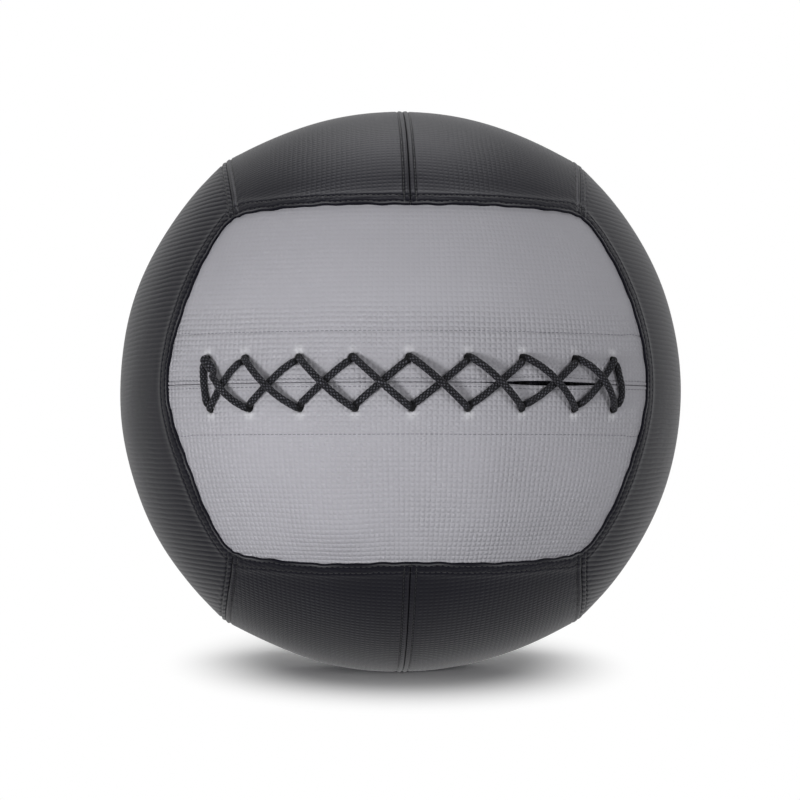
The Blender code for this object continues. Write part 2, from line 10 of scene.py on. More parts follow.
import bmesh
import bpy
import numpy as np
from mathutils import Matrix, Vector


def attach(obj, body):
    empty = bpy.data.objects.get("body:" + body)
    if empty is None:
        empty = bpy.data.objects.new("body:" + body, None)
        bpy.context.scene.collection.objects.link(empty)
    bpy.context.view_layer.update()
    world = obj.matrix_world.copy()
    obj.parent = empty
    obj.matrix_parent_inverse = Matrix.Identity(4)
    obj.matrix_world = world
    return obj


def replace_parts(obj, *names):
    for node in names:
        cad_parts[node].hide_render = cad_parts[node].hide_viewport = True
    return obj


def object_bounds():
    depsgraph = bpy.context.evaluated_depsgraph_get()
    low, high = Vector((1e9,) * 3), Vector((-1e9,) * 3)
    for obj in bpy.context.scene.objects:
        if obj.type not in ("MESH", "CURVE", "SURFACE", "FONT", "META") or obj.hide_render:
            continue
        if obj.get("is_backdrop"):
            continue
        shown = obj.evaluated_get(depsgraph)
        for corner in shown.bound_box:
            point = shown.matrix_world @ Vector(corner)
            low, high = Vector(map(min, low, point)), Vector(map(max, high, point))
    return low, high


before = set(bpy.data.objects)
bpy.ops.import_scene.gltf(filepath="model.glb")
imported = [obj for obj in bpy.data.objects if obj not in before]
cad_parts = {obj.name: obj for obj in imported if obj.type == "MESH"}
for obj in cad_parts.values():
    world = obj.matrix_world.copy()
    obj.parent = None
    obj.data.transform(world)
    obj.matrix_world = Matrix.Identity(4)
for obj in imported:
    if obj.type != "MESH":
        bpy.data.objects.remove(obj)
CAD_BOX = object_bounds()
print("parts:", len(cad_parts), " box:", [tuple(round(x, 4) for x in c) for c in CAD_BOX])

# %% [markdown]
# ## The ball as numbers
# The model was built on a few values, in metres. The looks are worked out from the same values and
# the same formulas, so that every piece lies where its solid does.

# %% The ball's own values
FACE_RADIUS = 0.176
SEAM_RISE = 0.005
REST_DEPTH = 0.002
SEAM_ANGLE = math.radians(37.3)
END_ANGLE = math.pi / 2 - SEAM_ANGLE
CROWN_POWER = 2.2
LAP_WIDTH = 0.0085
FIT = 0.0003
SKIN = 0.0012
FOAM = 0.005
STRIP = 0.0015
STRIP_WIDTH = 0.029
TONGUE = 0.0012
TONGUE_WIDTH = 0.048
TONGUE_LENGTH_SHARE = 0.92
GAPE = 0.0024
GAPE_MIDDLE_SHARE = 0.5
GAPE_REACH_SHARES = (0.25, 0.35)
GAPE_POWER = 1.6
LACE_RADIUS = 0.002
LACE_CLEARANCE = 0.0004
SQUEEZE_SHARE = 0.8

UNDER_SKIN = SKIN + FIT
UNDER_FOAM = UNDER_SKIN + FOAM
UNDER_STRIP = UNDER_SKIN + STRIP
STUFFING_DEPTH = UNDER_FOAM + FIT
LACE_IN_HOLE = LACE_RADIUS * SQUEEZE_SHARE
LACE_RUN_DEPTH = UNDER_STRIP + LACE_CLEARANCE + LACE_IN_HOLE
TONGUE_DEPTH = LACE_RUN_DEPTH + LACE_IN_HOLE + LACE_CLEARANCE
HOLE_RADIUS = LACE_IN_HOLE + LACE_CLEARANCE
SIDE_STEP = 2 * LACE_IN_HOLE + 3 * LACE_CLEARANCE
CROSSING_LIFT = 2 * LACE_RADIUS + 2 * LACE_CLEARANCE
LACE_TOP = 2 * LACE_RADIUS + LACE_CLEARANCE + CROSSING_LIFT
CENTRE = np.array([0, LACE_TOP / 2, FACE_RADIUS - REST_DEPTH])
CORNER = 1 / math.sqrt(3)
STEP_SHARE = 0.01
print("middle of the ball:", CENTRE)

# %% [markdown]
# ## The camera
# The photograph was taken from a little below the ball's middle and slightly to its left, with a
# long lens. The camera comes first, so that each piece can be judged in the picture's frame.

# %% Place the camera
PICTURE_SIDE = 800
FOCAL_PIXELS = 2081
CAMERA_DISTANCE = 1.3185
CAMERA_TURN = math.radians(-2.2)
CAMERA_RISE = math.radians(-1.8)
BALL_PIXEL = (400.3, 392.0)


def placed(name, data):
    """A new object in the scene."""
    made = bpy.data.objects.new(name, data)
    bpy.context.scene.collection.objects.link(made)
    return made


def place_camera():
    """Looks at the ball's middle, turned until that middle falls on its pixel in the picture."""
    back = np.array([math.sin(CAMERA_TURN) * math.cos(CAMERA_RISE),
                     -math.cos(CAMERA_TURN) * math.cos(CAMERA_RISE),
                     math.sin(CAMERA_RISE)])
    right = np.array([math.cos(CAMERA_TURN), math.sin(CAMERA_TURN), 0])
    up = np.cross(back, right)
    spot = CENTRE + back * CAMERA_DISTANCE
    aside = (PICTURE_SIDE / 2 - BALL_PIXEL[0]) / FOCAL_PIXELS * CAMERA_DISTANCE
    rise = (BALL_PIXEL[1] - PICTURE_SIDE / 2) / FOCAL_PIXELS * CAMERA_DISTANCE
    aim = CENTRE + right * aside + up * rise
    lens = bpy.data.cameras.new("camera")
    lens.sensor_width = 36
    lens.lens = FOCAL_PIXELS / PICTURE_SIDE * lens.sensor_width
    camera = placed("camera", lens)
    camera.location = spot
    camera.rotation_euler = Vector(aim - spot).to_track_quat("-Z", "Y").to_euler()
    bpy.context.scene.camera = camera
    return spot


print("camera at", place_camera().round(3))

# %% [markdown]
# ## Places on the ball
# The ball has six faces of two panels each. A share u runs along a face's panels and a share v
# across them, both from -1 to 1. A face is a patch spanned between its four seams and pushed out
# onto the ball, and the whole grid is worked out at once as arrays.

# %% Six faces and their seams
X, Y, Z = np.eye(3)
FRONT = (-Y, X, Z)
BACK = (Y, -X, Z)
TOP = (Z, -Y, X)
BOTTOM = (-Z, Y, X)
RIGHT = (X, Z, -Y)
LEFT = (-X, Z, Y)


def unit(vectors):
    """Vectors divided by their own lengths."""
    return vectors / np.linalg.norm(vectors, axis=-1, keepdims=True)


def smooth(low, high, values):
    """A smooth step: 0 below low, 1 above high, and 3 t^2 - 2 t^3 of the share t between."""
    share = np.clip((values - low) / (high - low), 0, 1)
    return share * share * (3 - 2 * share)


def seam_places(outward, along, toward, share):
    """A seam on a ball of radius one.

    Its height rises with the square of the share, and its turn runs evenly to an eighth of a
    circle each way.
    """
    middle = math.sin(SEAM_ANGLE)
    height = (middle + (CORNER - middle) * share ** 2)[..., None]
    turn = (share * math.pi / 4)[..., None]
    level = outward * np.cos(turn) + along * np.sin(turn)
    return level * np.sqrt(1 - height ** 2) + toward * height


def drawn_in(directions):
    """Draws the seams round the grey face in, by the lap times the sine of twice the angle."""
    depth = directions @ FRONT[0]
    aside = directions - depth[..., None] * FRONT[0]
    length = np.maximum(np.linalg.norm(aside, axis=-1), 1e-12)
    angle = np.arctan2(length, depth)
    angle = angle - LAP_WIDTH / (FACE_RADIUS + SEAM_RISE) * np.sin(2 * angle)
    turned = FRONT[0] * np.cos(angle)[..., None] + aside * (np.sin(angle) / length)[..., None]
    return np.where((depth > 0)[..., None], turned, directions)


def ball_directions(face, u, v):
    """A Coons patch between four seams, scaled to length one.

    Each pair of opposite seams is blended evenly, and the corners that this counts twice are
    taken off once.
    """
    outward, along, across = face
    p = np.tan(END_ANGLE * u) / math.tan(END_ANGLE)
    q = np.tan(SEAM_ANGLE * v) / math.tan(SEAM_ANGLE)
    points = np.zeros(u.shape + (3,))
    for side in (-1, 1):
        points += seam_places(outward, along, across * side, u) * ((1 + side * q) / 2)[..., None]
        points += seam_places(along * side, across, outward, v) * ((1 + side * p) / 2)[..., None]
        for end in (-1, 1):
            corner = (outward + along * end + across * side) * CORNER
            points -= corner * ((1 + end * p) * (1 + side * q) / 4)[..., None]
    return drawn_in(unit(points))


# %% Points and rates on the ball
def on_ball(face, u, v, depth):
    """Points below the outer surface: a ball whose faces are crowned a little less than round.

    Where the ball rests, the points are held as high above the floor as they are deep.
    """
    u, v, depth = np.broadcast_arrays(*(np.asarray(a, float) for a in (u, v, depth)))
    crown = (1 - np.abs(u) ** CROWN_POWER) * (1 - np.abs(v) ** CROWN_POWER)
    radius = FACE_RADIUS + SEAM_RISE * (1 - np.clip(crown, 0, 1)) - depth
    points = CENTRE + ball_directions(face, u, v) * radius[..., None]
    points[..., 2] = np.maximum(points[..., 2], np.maximum(depth, 0))
    return points


def line_rates(face, share, other, across):
    """Metres per share from a line of a face to the next one, square to the line."""
    other = np.asarray(other, float)
    own = np.full_like(other, share)
    inner = own - math.copysign(STEP_SHARE, share) if share else own + STEP_SHARE
    beside = other - np.copysign(STEP_SHARE, other)

    def place(mine, theirs):
        return on_ball(face, theirs, mine, 0) if across else on_ball(face, mine, theirs, 0)

    offset = place(inner, other) - place(own, other)
    line = unit(place(own, beside) - place(own, other))
    offset -= line * (offset * line).sum(axis=-1, keepdims=True)
    return np.linalg.norm(offset, axis=-1) / STEP_SHARE


print("top of the ball:", on_ball(TOP, 0, 0, 0).round(4))

# %% The slit
def gape(u):
    """Half the slit's opening: a cosine hump, longer to its right, on the grey face's right."""
    offset = u - GAPE_MIDDLE_SHARE
    reach = np.clip(offset / np.where(offset < 0, *GAPE_REACH_SHARES), -1, 1)
    return GAPE / 2 * np.cos(math.pi / 2 * reach) ** GAPE_POWER


def run_along(points, axis):
    """The distance run along the lines of a grid of points, from its first point."""
    steps = np.linalg.norm(np.diff(points, axis=axis), axis=-1)
    return np.insert(np.cumsum(steps, axis=axis), 0, 0, axis=axis)


slit_line = on_ball(FRONT, np.linspace(-1, 1, 201), 0, 0)
print("grey face, length over the ball:", run_along(slit_line, 0)[-1].round(4))

# %% [markdown]
# ## One way to make every piece
# A piece is a grid of points with a face between each four. The helper takes whole arrays, keeps
# the object at the origin, and lets the piece ride on the ball's one body.

# %% From arrays to pieces
BODY = "root"
WELD_DISTANCE = 2e-6


def grid_faces(columns, rows, first=0, closed=False):
    """Quads of a grid whose points are numbered row after row, closed round its rows if asked."""
    i = np.arange(columns - 1)[:, None]
    j = np.arange(rows if closed else rows - 1)[None]
    k = (j + 1) % rows
    quads = np.stack(np.broadcast_arrays(i * rows + j, (i + 1) * rows + j,
                                         (i + 1) * rows + k, i * rows + k), axis=-1)
    return quads.reshape(-1, 4) + first


print("a grid of 3 by 4 points has", len(grid_faces(3, 4)), "faces")


def add_piece(name, points, faces, finish, uv=None, weld=False, **shares):
    """A piece from its points and its lists of faces, shaded smooth.

    uv gives each point its place on the flat cloth, weld joins points that coincide, and each
    further value is an attribute of the points that the finish reads.
    """
    points = np.asarray(points, float).reshape(-1, 3)
    lists = faces if isinstance(faces, list) else [faces]
    corners = np.concatenate([f.ravel() for f in lists])
    sizes = np.concatenate([np.full(len(f), f.shape[1]) for f in lists])
    mesh = bpy.data.meshes.new(name)
    mesh.vertices.add(len(points))
    mesh.vertices.foreach_set("co", points.astype(np.float32).ravel())
    mesh.loops.add(len(corners))
    mesh.loops.foreach_set("vertex_index", corners.astype(np.int32))
    mesh.polygons.add(len(sizes))
    starts = np.concatenate([[0], np.cumsum(sizes)[:-1]])
    mesh.polygons.foreach_set("loop_start", starts.astype(np.int32))
    mesh.update(calc_edges=True)
    if uv is not None:
        layer = mesh.uv_layers.new(name="cloth")
        layer.data.foreach_set("uv", uv.reshape(-1, 2)[corners].astype(np.float32).ravel())
    for word, values in shares.items():
        values = np.broadcast_to(np.asarray(values, np.float32).ravel(), len(points))
        mesh.attributes.new(word, "FLOAT", "POINT").data.foreach_set("value", values.copy())
    if weld:
        shape = bmesh.new()
        shape.from_mesh(mesh)
        bmesh.ops.remove_doubles(shape, verts=shape.verts, dist=WELD_DISTANCE)
        loose = [vertex for vertex in shape.verts if not vertex.link_faces]
        bmesh.ops.delete(shape, geom=loose, context="VERTS")
        shape.to_mesh(mesh)
        shape.free()
    mesh.validate()
    mesh.shade_smooth()
    mesh.materials.append(finish)
    piece = placed(name, mesh)
    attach(piece, BODY)
    return piece


def thicken(piece, thickness):
    """Gives a one-sided cloth its thickness, inwards."""
    wall = piece.modifiers.new("thickness", "SOLIDIFY")
    wall.thickness = thickness
    wall.offset = -1


# %% [markdown]
# ## Finishes
# Each finish starts from what the real one is. The colours are screen values, turned to linear
# ones by one function, and each pattern is sized in millimetres.

# %% Nodes and colours
def linear(colour):
    """An sRGB hex colour as linear red, green, blue and alpha."""
    shares = [int(colour[k:k + 2], 16) / 255 for k in (1, 3, 5)]
    return (*[s / 12.92 if s <= 0.04045 else ((s + 0.055) / 1.055) ** 2.4 for s in shares], 1)


def put(tree, made, inputs):
    """Gives each of a node's inputs a link from a socket, a hex colour or a value."""
    for key, value in dict(inputs).items():
        if isinstance(value, bpy.types.NodeSocket):
            tree.links.new(value, made.inputs[key])
        else:
            made.inputs[key].default_value = linear(value) if isinstance(value, str) else value


def node(tree, kind, inputs=(), **settings):
    """Adds a node with its settings and what its inputs take. Gives its outputs."""
    made = tree.nodes.new("ShaderNode" + kind)
    for key, value in settings.items():
        setattr(made, key, value)
    put(tree, made, inputs)
    return made.outputs


def new_finish(name):
    """A new node material with a Principled shader. Gives the material, its tree and shader."""
    made = bpy.data.materials.new(name)
    made.use_nodes = True
    return made, made.node_tree, made.node_tree.nodes["Principled BSDF"]


print("a screen grey of 128 is linear", round(linear("#808080")[0], 3))

# %% The height of a weave
CLOTH_SIDE = 0.36
DRIFT_CELLS, DRIFT_TURN = 12, 1.6
ACROSS_POWER, ALONG_POWER = 1.1, 0.75


def weave_height(tree, spacing):
    """The height of a plain weave pressed into a sheet, from its place on the flat cloth.

    Each square of the weave has one thread on top: the crosswise one where the product of two
    sines is above zero, and the lengthwise one elsewhere. A thread is round across itself and
    bows a little along itself. Where the cloth is drawn one way, only its ribs are left.
    """
    place = node(tree, "UVMap", uv_map="cloth")["UV"]
    split = node(tree, "SeparateXYZ", {0: place})
    drift = node(tree, "TexNoise", {"Vector": place, "Scale": DRIFT_CELLS, "Detail": 1})["Fac"]
    turn = node(tree, "Math", {0: drift, 1: DRIFT_TURN}, operation="MULTIPLY")[0]
    waves = []
    for way in "XY":
        phase = node(tree, "Math", {0: split[way], 1: math.pi * CLOTH_SIDE / spacing, 2: turn},
                     operation="MULTIPLY_ADD")[0]
        waves.append(node(tree, "Math", {0: phase}, operation="SINE")[0])
    product = node(tree, "Math", {0: waves[0], 1: waves[1]}, operation="MULTIPLY")[0]
    over = node(tree, "Math", {0: product, 1: 0}, operation="GREATER_THAN")[0]
    heights = [node(tree, "Math", {0: wave}, operation="ABSOLUTE")[0] for wave in waves]
    round_a, round_b, flat_a, flat_b = [
        node(tree, "Math", {0: height, 1: power}, operation="POWER")[0]
        for power in (ACROSS_POWER, ALONG_POWER) for height in heights]
    lengthwise = node(tree, "Math", {0: round_a, 1: flat_b}, operation="MULTIPLY")[0]
    crosswise = node(tree, "Math", {0: flat_a, 1: round_b}, operation="MULTIPLY")[0]
    woven = node(tree, "Mix", {0: over, 2: lengthwise, 3: crosswise})[0]
    ribs = node(tree, "Attribute", attribute_name="ribs")["Fac"]
    return node(tree, "Mix", {0: ribs, 2: woven, 3: round_a})[0], place


# %% [markdown]
# Leatherette is a cloth coated with soft PVC that is pressed between rolls, so it carries the
# weave of a canvas without its threads. It is glossy like any plastic, but its fine grain breaks
# the gloss up. The weave of the real one has 3 mm cells, coarse enough to draw at true size.

# %% Black and grey leatherette
THREAD_SPACING, WEAVE_DEPTH = 0.0029, 0.00026
GRAIN_SIZE, GRAIN_DEPTH, GRAIN_ROUGHNESS = 0.0009, 0.00004, 0.6
ROUGHNESS, ROUGHNESS_SPREAD = 0.34, 0.16
CLOUD_CELLS, CLOUD_DETAIL, CLOUD_SPREAD, CLOUD_LEAST = 9, 3, 1.6, 0.2
# the gloss's tint, and the colour of the painted highlights beside the holes and along the laps'
# folds
GLOSS_TINT, PAINTED_HIGHLIGHT_COLOUR = "#e9e7ff", "#d4d4d8"


def leatherette(name, dark, light, ior):
    """PVC coated cloth pressed with a weave: a clouded colour and two bumps, weave and grain.

    A painted highlight, read from an attribute, turns the colour pale beside the holes and along
    the laps' folds.
    """
    made, tree, shader = new_finish(name)
    height, place = weave_height(tree, THREAD_SPACING)
    cloud, grain = (
        node(tree, "TexNoise", {"Vector": place, "Scale": scale, "Detail": detail,
                                "Roughness": GRAIN_ROUGHNESS})["Fac"]
        for scale, detail in ((CLOUD_CELLS, CLOUD_DETAIL), (CLOTH_SIDE / GRAIN_SIZE, 2)))
    emboss, pulled = (node(tree, "Attribute", attribute_name=word)["Fac"]
                      for word in ("emboss", "pulled"))
    plain = node(tree, "Mix", {0: cloud, 6: dark, 7: light}, data_type="RGBA")[2]
    # painted highlight: the colour turns pale where the attribute is high
    colour = node(tree, "Mix", {0: pulled, 6: plain, 7: PAINTED_HIGHLIGHT_COLOUR}, data_type="RGBA")[2]
    dull = node(tree, "Math", {0: grain, 1: ROUGHNESS_SPREAD, 2: ROUGHNESS},
                operation="MULTIPLY_ADD")[0]
    patches = node(tree, "Math", {0: cloud, 1: CLOUD_SPREAD, 2: CLOUD_LEAST},
                   operation="MULTIPLY_ADD")[0]
    depth = node(tree, "Math", {0: emboss, 1: patches}, operation="MULTIPLY")[0]
    pressed = node(tree, "Math", {0: height, 1: depth}, operation="MULTIPLY")[0]
    weave = node(tree, "Bump", {"Height": pressed, "Distance": WEAVE_DEPTH})[0]
    bump = node(tree, "Bump", {"Height": grain, "Distance": GRAIN_DEPTH, "Normal": weave})[0]
    put(tree, shader, {"Base Color": colour, "Roughness": dull, "Normal": bump,
                       "IOR": ior, "Specular Tint": GLOSS_TINT})
    return made


black_leatherette = leatherette("black_leatherette", "#09090e", "#101017", 1.21)
grey_leatherette = leatherette("grey_leatherette", "#a4a3a9", "#acabb1", 1.2)
print("leatherettes:", black_leatherette.name, grey_leatherette.name)

# %% [markdown]
# Bonded polyester thread is three strands twisted hard and glued, so it is smooth, slightly
# glossy and lies in a groove that it has pulled into the cloth. The stuff inside needs less: one
# height, a weave's or a noise's, gives both a finish's colour and its bump.

# %% Threads and the stuff inside
# name: dark and light colour, roughness, size of a grain or a weave's thread, depth, sheen
FINISHES = {
    "black_thread": ("#09090b", "#26262b", 0.42, 0.0008, 0.0001, 0),
    "grey_thread": ("#505055", "#74747a", 0.55, 0.0008, 0.0001, 0),
    # foamed polyurethane, cut in sheets: dull, with open pores
    "padding_foam": ("#4a4c50", "#5c5e63", 0.9, 0.0012, 0.0004, 0),
    # torn rags rammed together: ragged at every size, with the faint sheen of loose fibres
    "stuffing_textile": ("#6f6a60", "#a39c8e", 0.95, 0.004, 0.0012, 0.3),
    # crushed iron, sieved: dark grains, and paler ones that have rusted
    "iron_sand": ("#1d1b19", "#5a5550", 0.6, 0.0011, 0.0006, 0),
    # twisted nylon cord, undyed: pale and a little glossy
    "tie_nylon": ("#cfcfcb", "#e6e6e2", 0.4, 0.0015, 0.0001, 0),
    # woven polyester band and cotton canvas: dull, each thread's crown paler than its sides as
    # painted highlight and shade
    "strip_webbing": ("#4d4d50", "#77777c", 0.8, 0.0012, 0.0003, 0.1),
    "bag_canvas": ("#a8a191", "#d8d2c2", 0.85, 0.0011, 0.0003, 0.1),
}
WOVEN = ("strip_webbing", "bag_canvas")
RAGGED_DETAIL = {"stuffing_textile": 5}


def two_toned(name):
    """A finish whose colour and bump follow one height: a weave's, or a noise sized in metres."""
    dark, light, roughness, size, depth, sheen = FINISHES[name]
    made, tree, shader = new_finish(name)
    if name in WOVEN:
        height, _ = weave_height(tree, size)
    else:
        place = node(tree, "TexCoord")["Object"]
        height = node(tree, "TexNoise", {"Vector": place, "Scale": 1 / size,
                                         "Detail": RAGGED_DETAIL.get(name, 2),
                                         "Roughness": GRAIN_ROUGHNESS})["Fac"]
    # the colour follows the height: in a weave the paler crowns and darker sides are painted
    # highlight and shade
    colour = node(tree, "Mix", {0: height, 6: dark, 7: light}, data_type="RGBA")[2]
    bump = node(tree, "Bump", {"Height": height, "Distance": depth})[0]
    put(tree, shader, {"Base Color": colour, "Roughness": roughness, "Sheen Weight": sheen,
                       "Normal": bump})
    return made


stuff = {name: two_toned(name) for name in FINISHES}
print("finishes:", len(bpy.data.materials))

# %% [markdown]
# The lace is a braid of polyester yarn. The yarn is dull, and where a strand comes up over
# another its crown is flecked paler than the hollows between: partly flecks, partly painted
# highlight.

# %% Braided lace
LACE_DARK, LACE_LIGHT, LACE_FLECK, LACE_FIBRE = "#08080a", "#686870", 0.001, 0.0004
FLECK_GAIN, FLECK_SHIFT, FLECK_ROUGHNESS = 5.0, -1.7, 0.8
LACE_CROWN_POWER, LACE_FUZZ = 4.0, 0.0001
LACE_ROUGHNESS, LACE_SHEEN, LACE_IOR = 0.72, 0.05, 1.2


def braided_lace():
    """Polyester braid: its crowns, flecked, to the fourth power are its paler places, partly
    painted highlight.
    """
    made, tree, shader = new_finish("braided_lace")
    place = node(tree, "TexCoord")["Object"]
    fleck, fibre = (
        node(tree, "TexNoise", {"Vector": place, "Scale": 1 / size, "Roughness": rough})["Fac"]
        for size, rough in ((LACE_FLECK, FLECK_ROUGHNESS), (LACE_FIBRE, GRAIN_ROUGHNESS)))
    bright = node(tree, "Math", {0: fleck, 1: FLECK_GAIN, 2: FLECK_SHIFT},
                  operation="MULTIPLY_ADD")[0]
    crown = node(tree, "Attribute", attribute_name="crown")["Fac"]
    crown = node(tree, "Math", {0: crown, 1: LACE_CROWN_POWER}, operation="POWER")[0]
    high = node(tree, "Math", {0: crown, 1: bright}, operation="MULTIPLY")[0]
    colour = node(tree, "Mix", {0: high, 6: LACE_DARK, 7: LACE_LIGHT}, data_type="RGBA")[2]
    bump = node(tree, "Bump", {"Height": fibre, "Distance": LACE_FUZZ})[0]
    put(tree, shader, {"Base Color": colour, "Roughness": LACE_ROUGHNESS, "IOR": LACE_IOR,
                       "Sheen Weight": LACE_SHEEN, "Normal": bump})
    return made


lace_braid = braided_lace()
print("finish made:", lace_braid.name)

# %% [markdown]
# ## The cover
# A panel is a sheet that is stretched over the ball and turned in along its seams. The grid has
# close lines beside the seams, for the fold, the rib of turned-in cloth and the groove that the
# stitches pull, and wide ones between. The black panels lap over the grey ones.

# %% Profiles of the edges
EDGE_LINES = np.array([0.15, 0.4, 0.7, 1.05, 1.45, 1.9, 2.3, 2.7, 3.05, 3.4, 3.75, 4.1, 4.6,
                       5.2, 5.7, 6.0, 6.3, 6.7, 7.4, 8.4, 9.8, 11.5]) / 1000
WALL_DEPTHS = np.array([6.0, 3.5, 1.8]) / 1000
LAP_WALL_DEPTHS = np.array([0.85, 0.5, 0.1]) / 1000
FAR_AWAY = 1.0
HIDE_SHEET = 0.0008
FOLD_RADIUS, LAP_FOLD_RADIUS = 0.0009, 0.0007
RIB_PLACE, RIB_WIDTH, RIB_RISE = 0.0019, 0.0009, 0.00035
SEAM_ROW, HEM_ROW, BAND_ROW = 0.0034, 0.0023, 0.0290
LAP_ROWS = (0.0019, 0.0063)
ROW_WIDTH, ROW_DEPTH, SEAM_ROW_DEPTH = 0.0005, 0.00045, 0.0008
LAP_RISE, LAP_SLOPE_START, LAP_SLOPE_END = 0.0009, 0.0065, 0.0115
LAP_OVER, LAP_WAVE, LAP_WAVE_RUNS = 0.0006, 0.0002, (0.0035, 0.0021)
LAP_START, LAP_SHIFT_START = 0.004, 0.002
CORNER_CUT, CORNER_HALF = 0.003, math.radians(58.5)
GREY_DIP, GREY_DIP_END = 0.0006, 0.011
SLIT_FOLD, SLIT_FADE = 0.0008, (0.004, 0.011)
# a height, and the middle and the width of its bell
SLIT_RIB = (0.0004, 0.0013, 0.0006)
SLIT_GROOVES = ((0.00028, HEM_ROW, 0.0004), (0.00022, BAND_ROW, 0.0005))
# the depth and the wave of creases, and the middle and the width of their bell
SEAM_CREASES = (0.00012, 0.0013, 0.005, 0.003)
LAP_CREASES = (0.0001, 0.0012, 0.004, 0.003)
GROOVE_WAVE_SHARE, GROOVE_WAVE = 0.25, 0.0011
SHUT_FADE = (0.001, 0.006)
PUCKER_DRIFT, PUCKER_RUN = 1.5, 11
# the wave along a lap and the bell across it of the painted highlight on the lap's fold
FOLD_HIGHLIGHT_WAVE, FOLD_HIGHLIGHT_LINE = 0.008, (0.0009, 0.0003)
# how far the stitching pulls at five even places along a lap
LAP_PULLS = {
    "top": (0.0022, 0.0012, 0.0021, 0.001, 0.0008),
    "bottom": (0.0035, 0.0014, 0.0028, 0.0015, 0.003),
    "left": (0.0035, 0.0086, 0.0004, 0.0048, 0.0022),
    "right": (0.003, 0.0058, 0.0002, 0.002, 0.0008),
}


def bell(distance, middle, width):
    """One in the middle, falling as e to the minus square of the distance in widths."""
    return np.exp(-((distance - middle) / width) ** 2)


def fold(distance, radius):
    """The depth of a rounded fold: a quarter circle that ends at the seam."""
    inside = np.clip(radius - distance, 0, radius)
    return radius - np.sqrt(radius ** 2 - inside ** 2)


def pucker(run, wave):
    """A wave along a seam whose length drifts, so that no two creases are the same."""
    return np.sin(run / wave + PUCKER_DRIFT * np.sin(run / (wave * PUCKER_RUN)))


def creases(distance, run, depth, wave, middle, width):
    """Small creases square to a seam, from a pucker along it and a bell across it."""
    return depth * pucker(run, wave) * bell(distance, middle, width)


def seam_relief(distance, run):
    """Where two black panels meet: a fold, a rib, the groove of the stitches and creases."""
    wavy = 1 + GROOVE_WAVE_SHARE * pucker(run, GROOVE_WAVE)
    groove = SEAM_ROW_DEPTH * wavy * bell(distance, SEAM_ROW, ROW_WIDTH)
    rib = RIB_RISE * bell(distance, RIB_PLACE, RIB_WIDTH)
    return fold(distance, FOLD_RADIUS) - rib + groove + creases(distance, run, *SEAM_CREASES)


def lap_relief(distance, run):
    """Where black laps over grey: a raised band with a fold and two rows of stitches."""
    band = LAP_RISE * (1 - smooth(LAP_SLOPE_START, LAP_SLOPE_END, distance))
    grooves = sum(ROW_DEPTH * bell(distance, row, ROW_WIDTH) for row in LAP_ROWS)
    return (fold(distance, LAP_FOLD_RADIUS) - band + grooves
            + creases(distance, run, *LAP_CREASES))


def under_relief(distance, run):
    """The grey cloth beside the lap, pressed down by the black."""
    return GREY_DIP * (1 - smooth(0, GREY_DIP_END, distance))


def slit_relief(distance, run):
    """A hemmed lip of the slit: a soft fold, a low rib and the grooves of its two rows."""
    grooves = sum(depth * bell(distance, *place) for depth, *place in SLIT_GROOVES)
    height, *place = SLIT_RIB
    return fold(distance, SLIT_FOLD) - height * bell(distance, *place) + grooves


RELIEFS = {"seam": seam_relief, "lap": lap_relief, "under": under_relief, "slit": slit_relief}
print("depth of a seam's groove:", round(float(seam_relief(SEAM_ROW, 0)), 5))

# %% How far a lap reaches
def lap_pull(name, along):
    """How far stitching has drawn a black panel over the grey: smooth steps between five places."""
    pulls = LAP_PULLS[name.split("_")[0]]
    return pulls[0] + sum((pulls[k + 1] - pulls[k]) * smooth(k / 2 - 1, k / 2 - 0.5, along)
                          for k in range(4))


def corner_cover(run):
    """How far a lap reaches over a rounded corner of the grey face, by the run from the corner.

    It is a parabola that lies square to the corner's halving line, which the seam follows there,
    and along the side where it ends.
    """
    reach = 2 * CORNER_CUT / math.cos(CORNER_HALF)
    return CORNER_CUT * np.clip(1 - run / reach, 0, 1) ** 2


def lap_shift(run, distance):
    """How far a lap's lines move over the grey: its own reach, its wave and the corners."""
    long, short = LAP_WAVE_RUNS
    wave = LAP_WAVE * (np.sin(run / long) + np.sin(run / short + 1))
    reach = (LAP_OVER + wave) * smooth(0, LAP_START, run) + corner_cover(run)
    return reach * (1 - smooth(LAP_SHIFT_START, LAP_SLOPE_END, distance))


print("a lap covers a corner by", round(float(lap_shift(0, 0)), 5))

# %% [markdown]
# Each panel names what its four edges are: a seam to another black panel, a lap over the grey
# face, the grey edge under that lap, or a lip of the slit.

# %% Panels and their edges
# name: face, half, edges at u = -1 and u = 1, edges at the face's middle and at its side
PANELS = {
    "front_upper": (FRONT, 1, ("under", "under"), ("slit", "under")),
    "front_lower": (FRONT, -1, ("under", "under"), ("slit", "under")),
    "back_upper": (BACK, 1, ("seam", "seam"), ("seam", "seam")),
    "back_lower": (BACK, -1, ("seam", "seam"), ("seam", "seam")),
    "top_right": (TOP, 1, ("seam", "lap"), ("seam", "seam")),
    "top_left": (TOP, -1, ("seam", "lap"), ("seam", "seam")),
    "bottom_right": (BOTTOM, 1, ("lap", "seam"), ("seam", "seam")),
    "bottom_left": (BOTTOM, -1, ("lap", "seam"), ("seam", "seam")),
    "right_front": (RIGHT, 1, ("seam", "seam"), ("seam", "lap")),
    "right_rear": (RIGHT, -1, ("seam", "seam"), ("seam", "seam")),
    "left_rear": (LEFT, 1, ("seam", "seam"), ("seam", "seam")),
    "left_front": (LEFT, -1, ("seam", "seam"), ("seam", "lap")),
}
print("panels:", len(PANELS))

# %% The lines of a panel's grid
SLIT_LINES = np.concatenate([np.arange(12.3, 22.5, 0.75), [24, 25.5, 27, 27.8, 28.2, 28.6, 29,
                                                            29.4, 29.8, 30.2, 31.2]]) / 1000
RATE_PLACES = 41


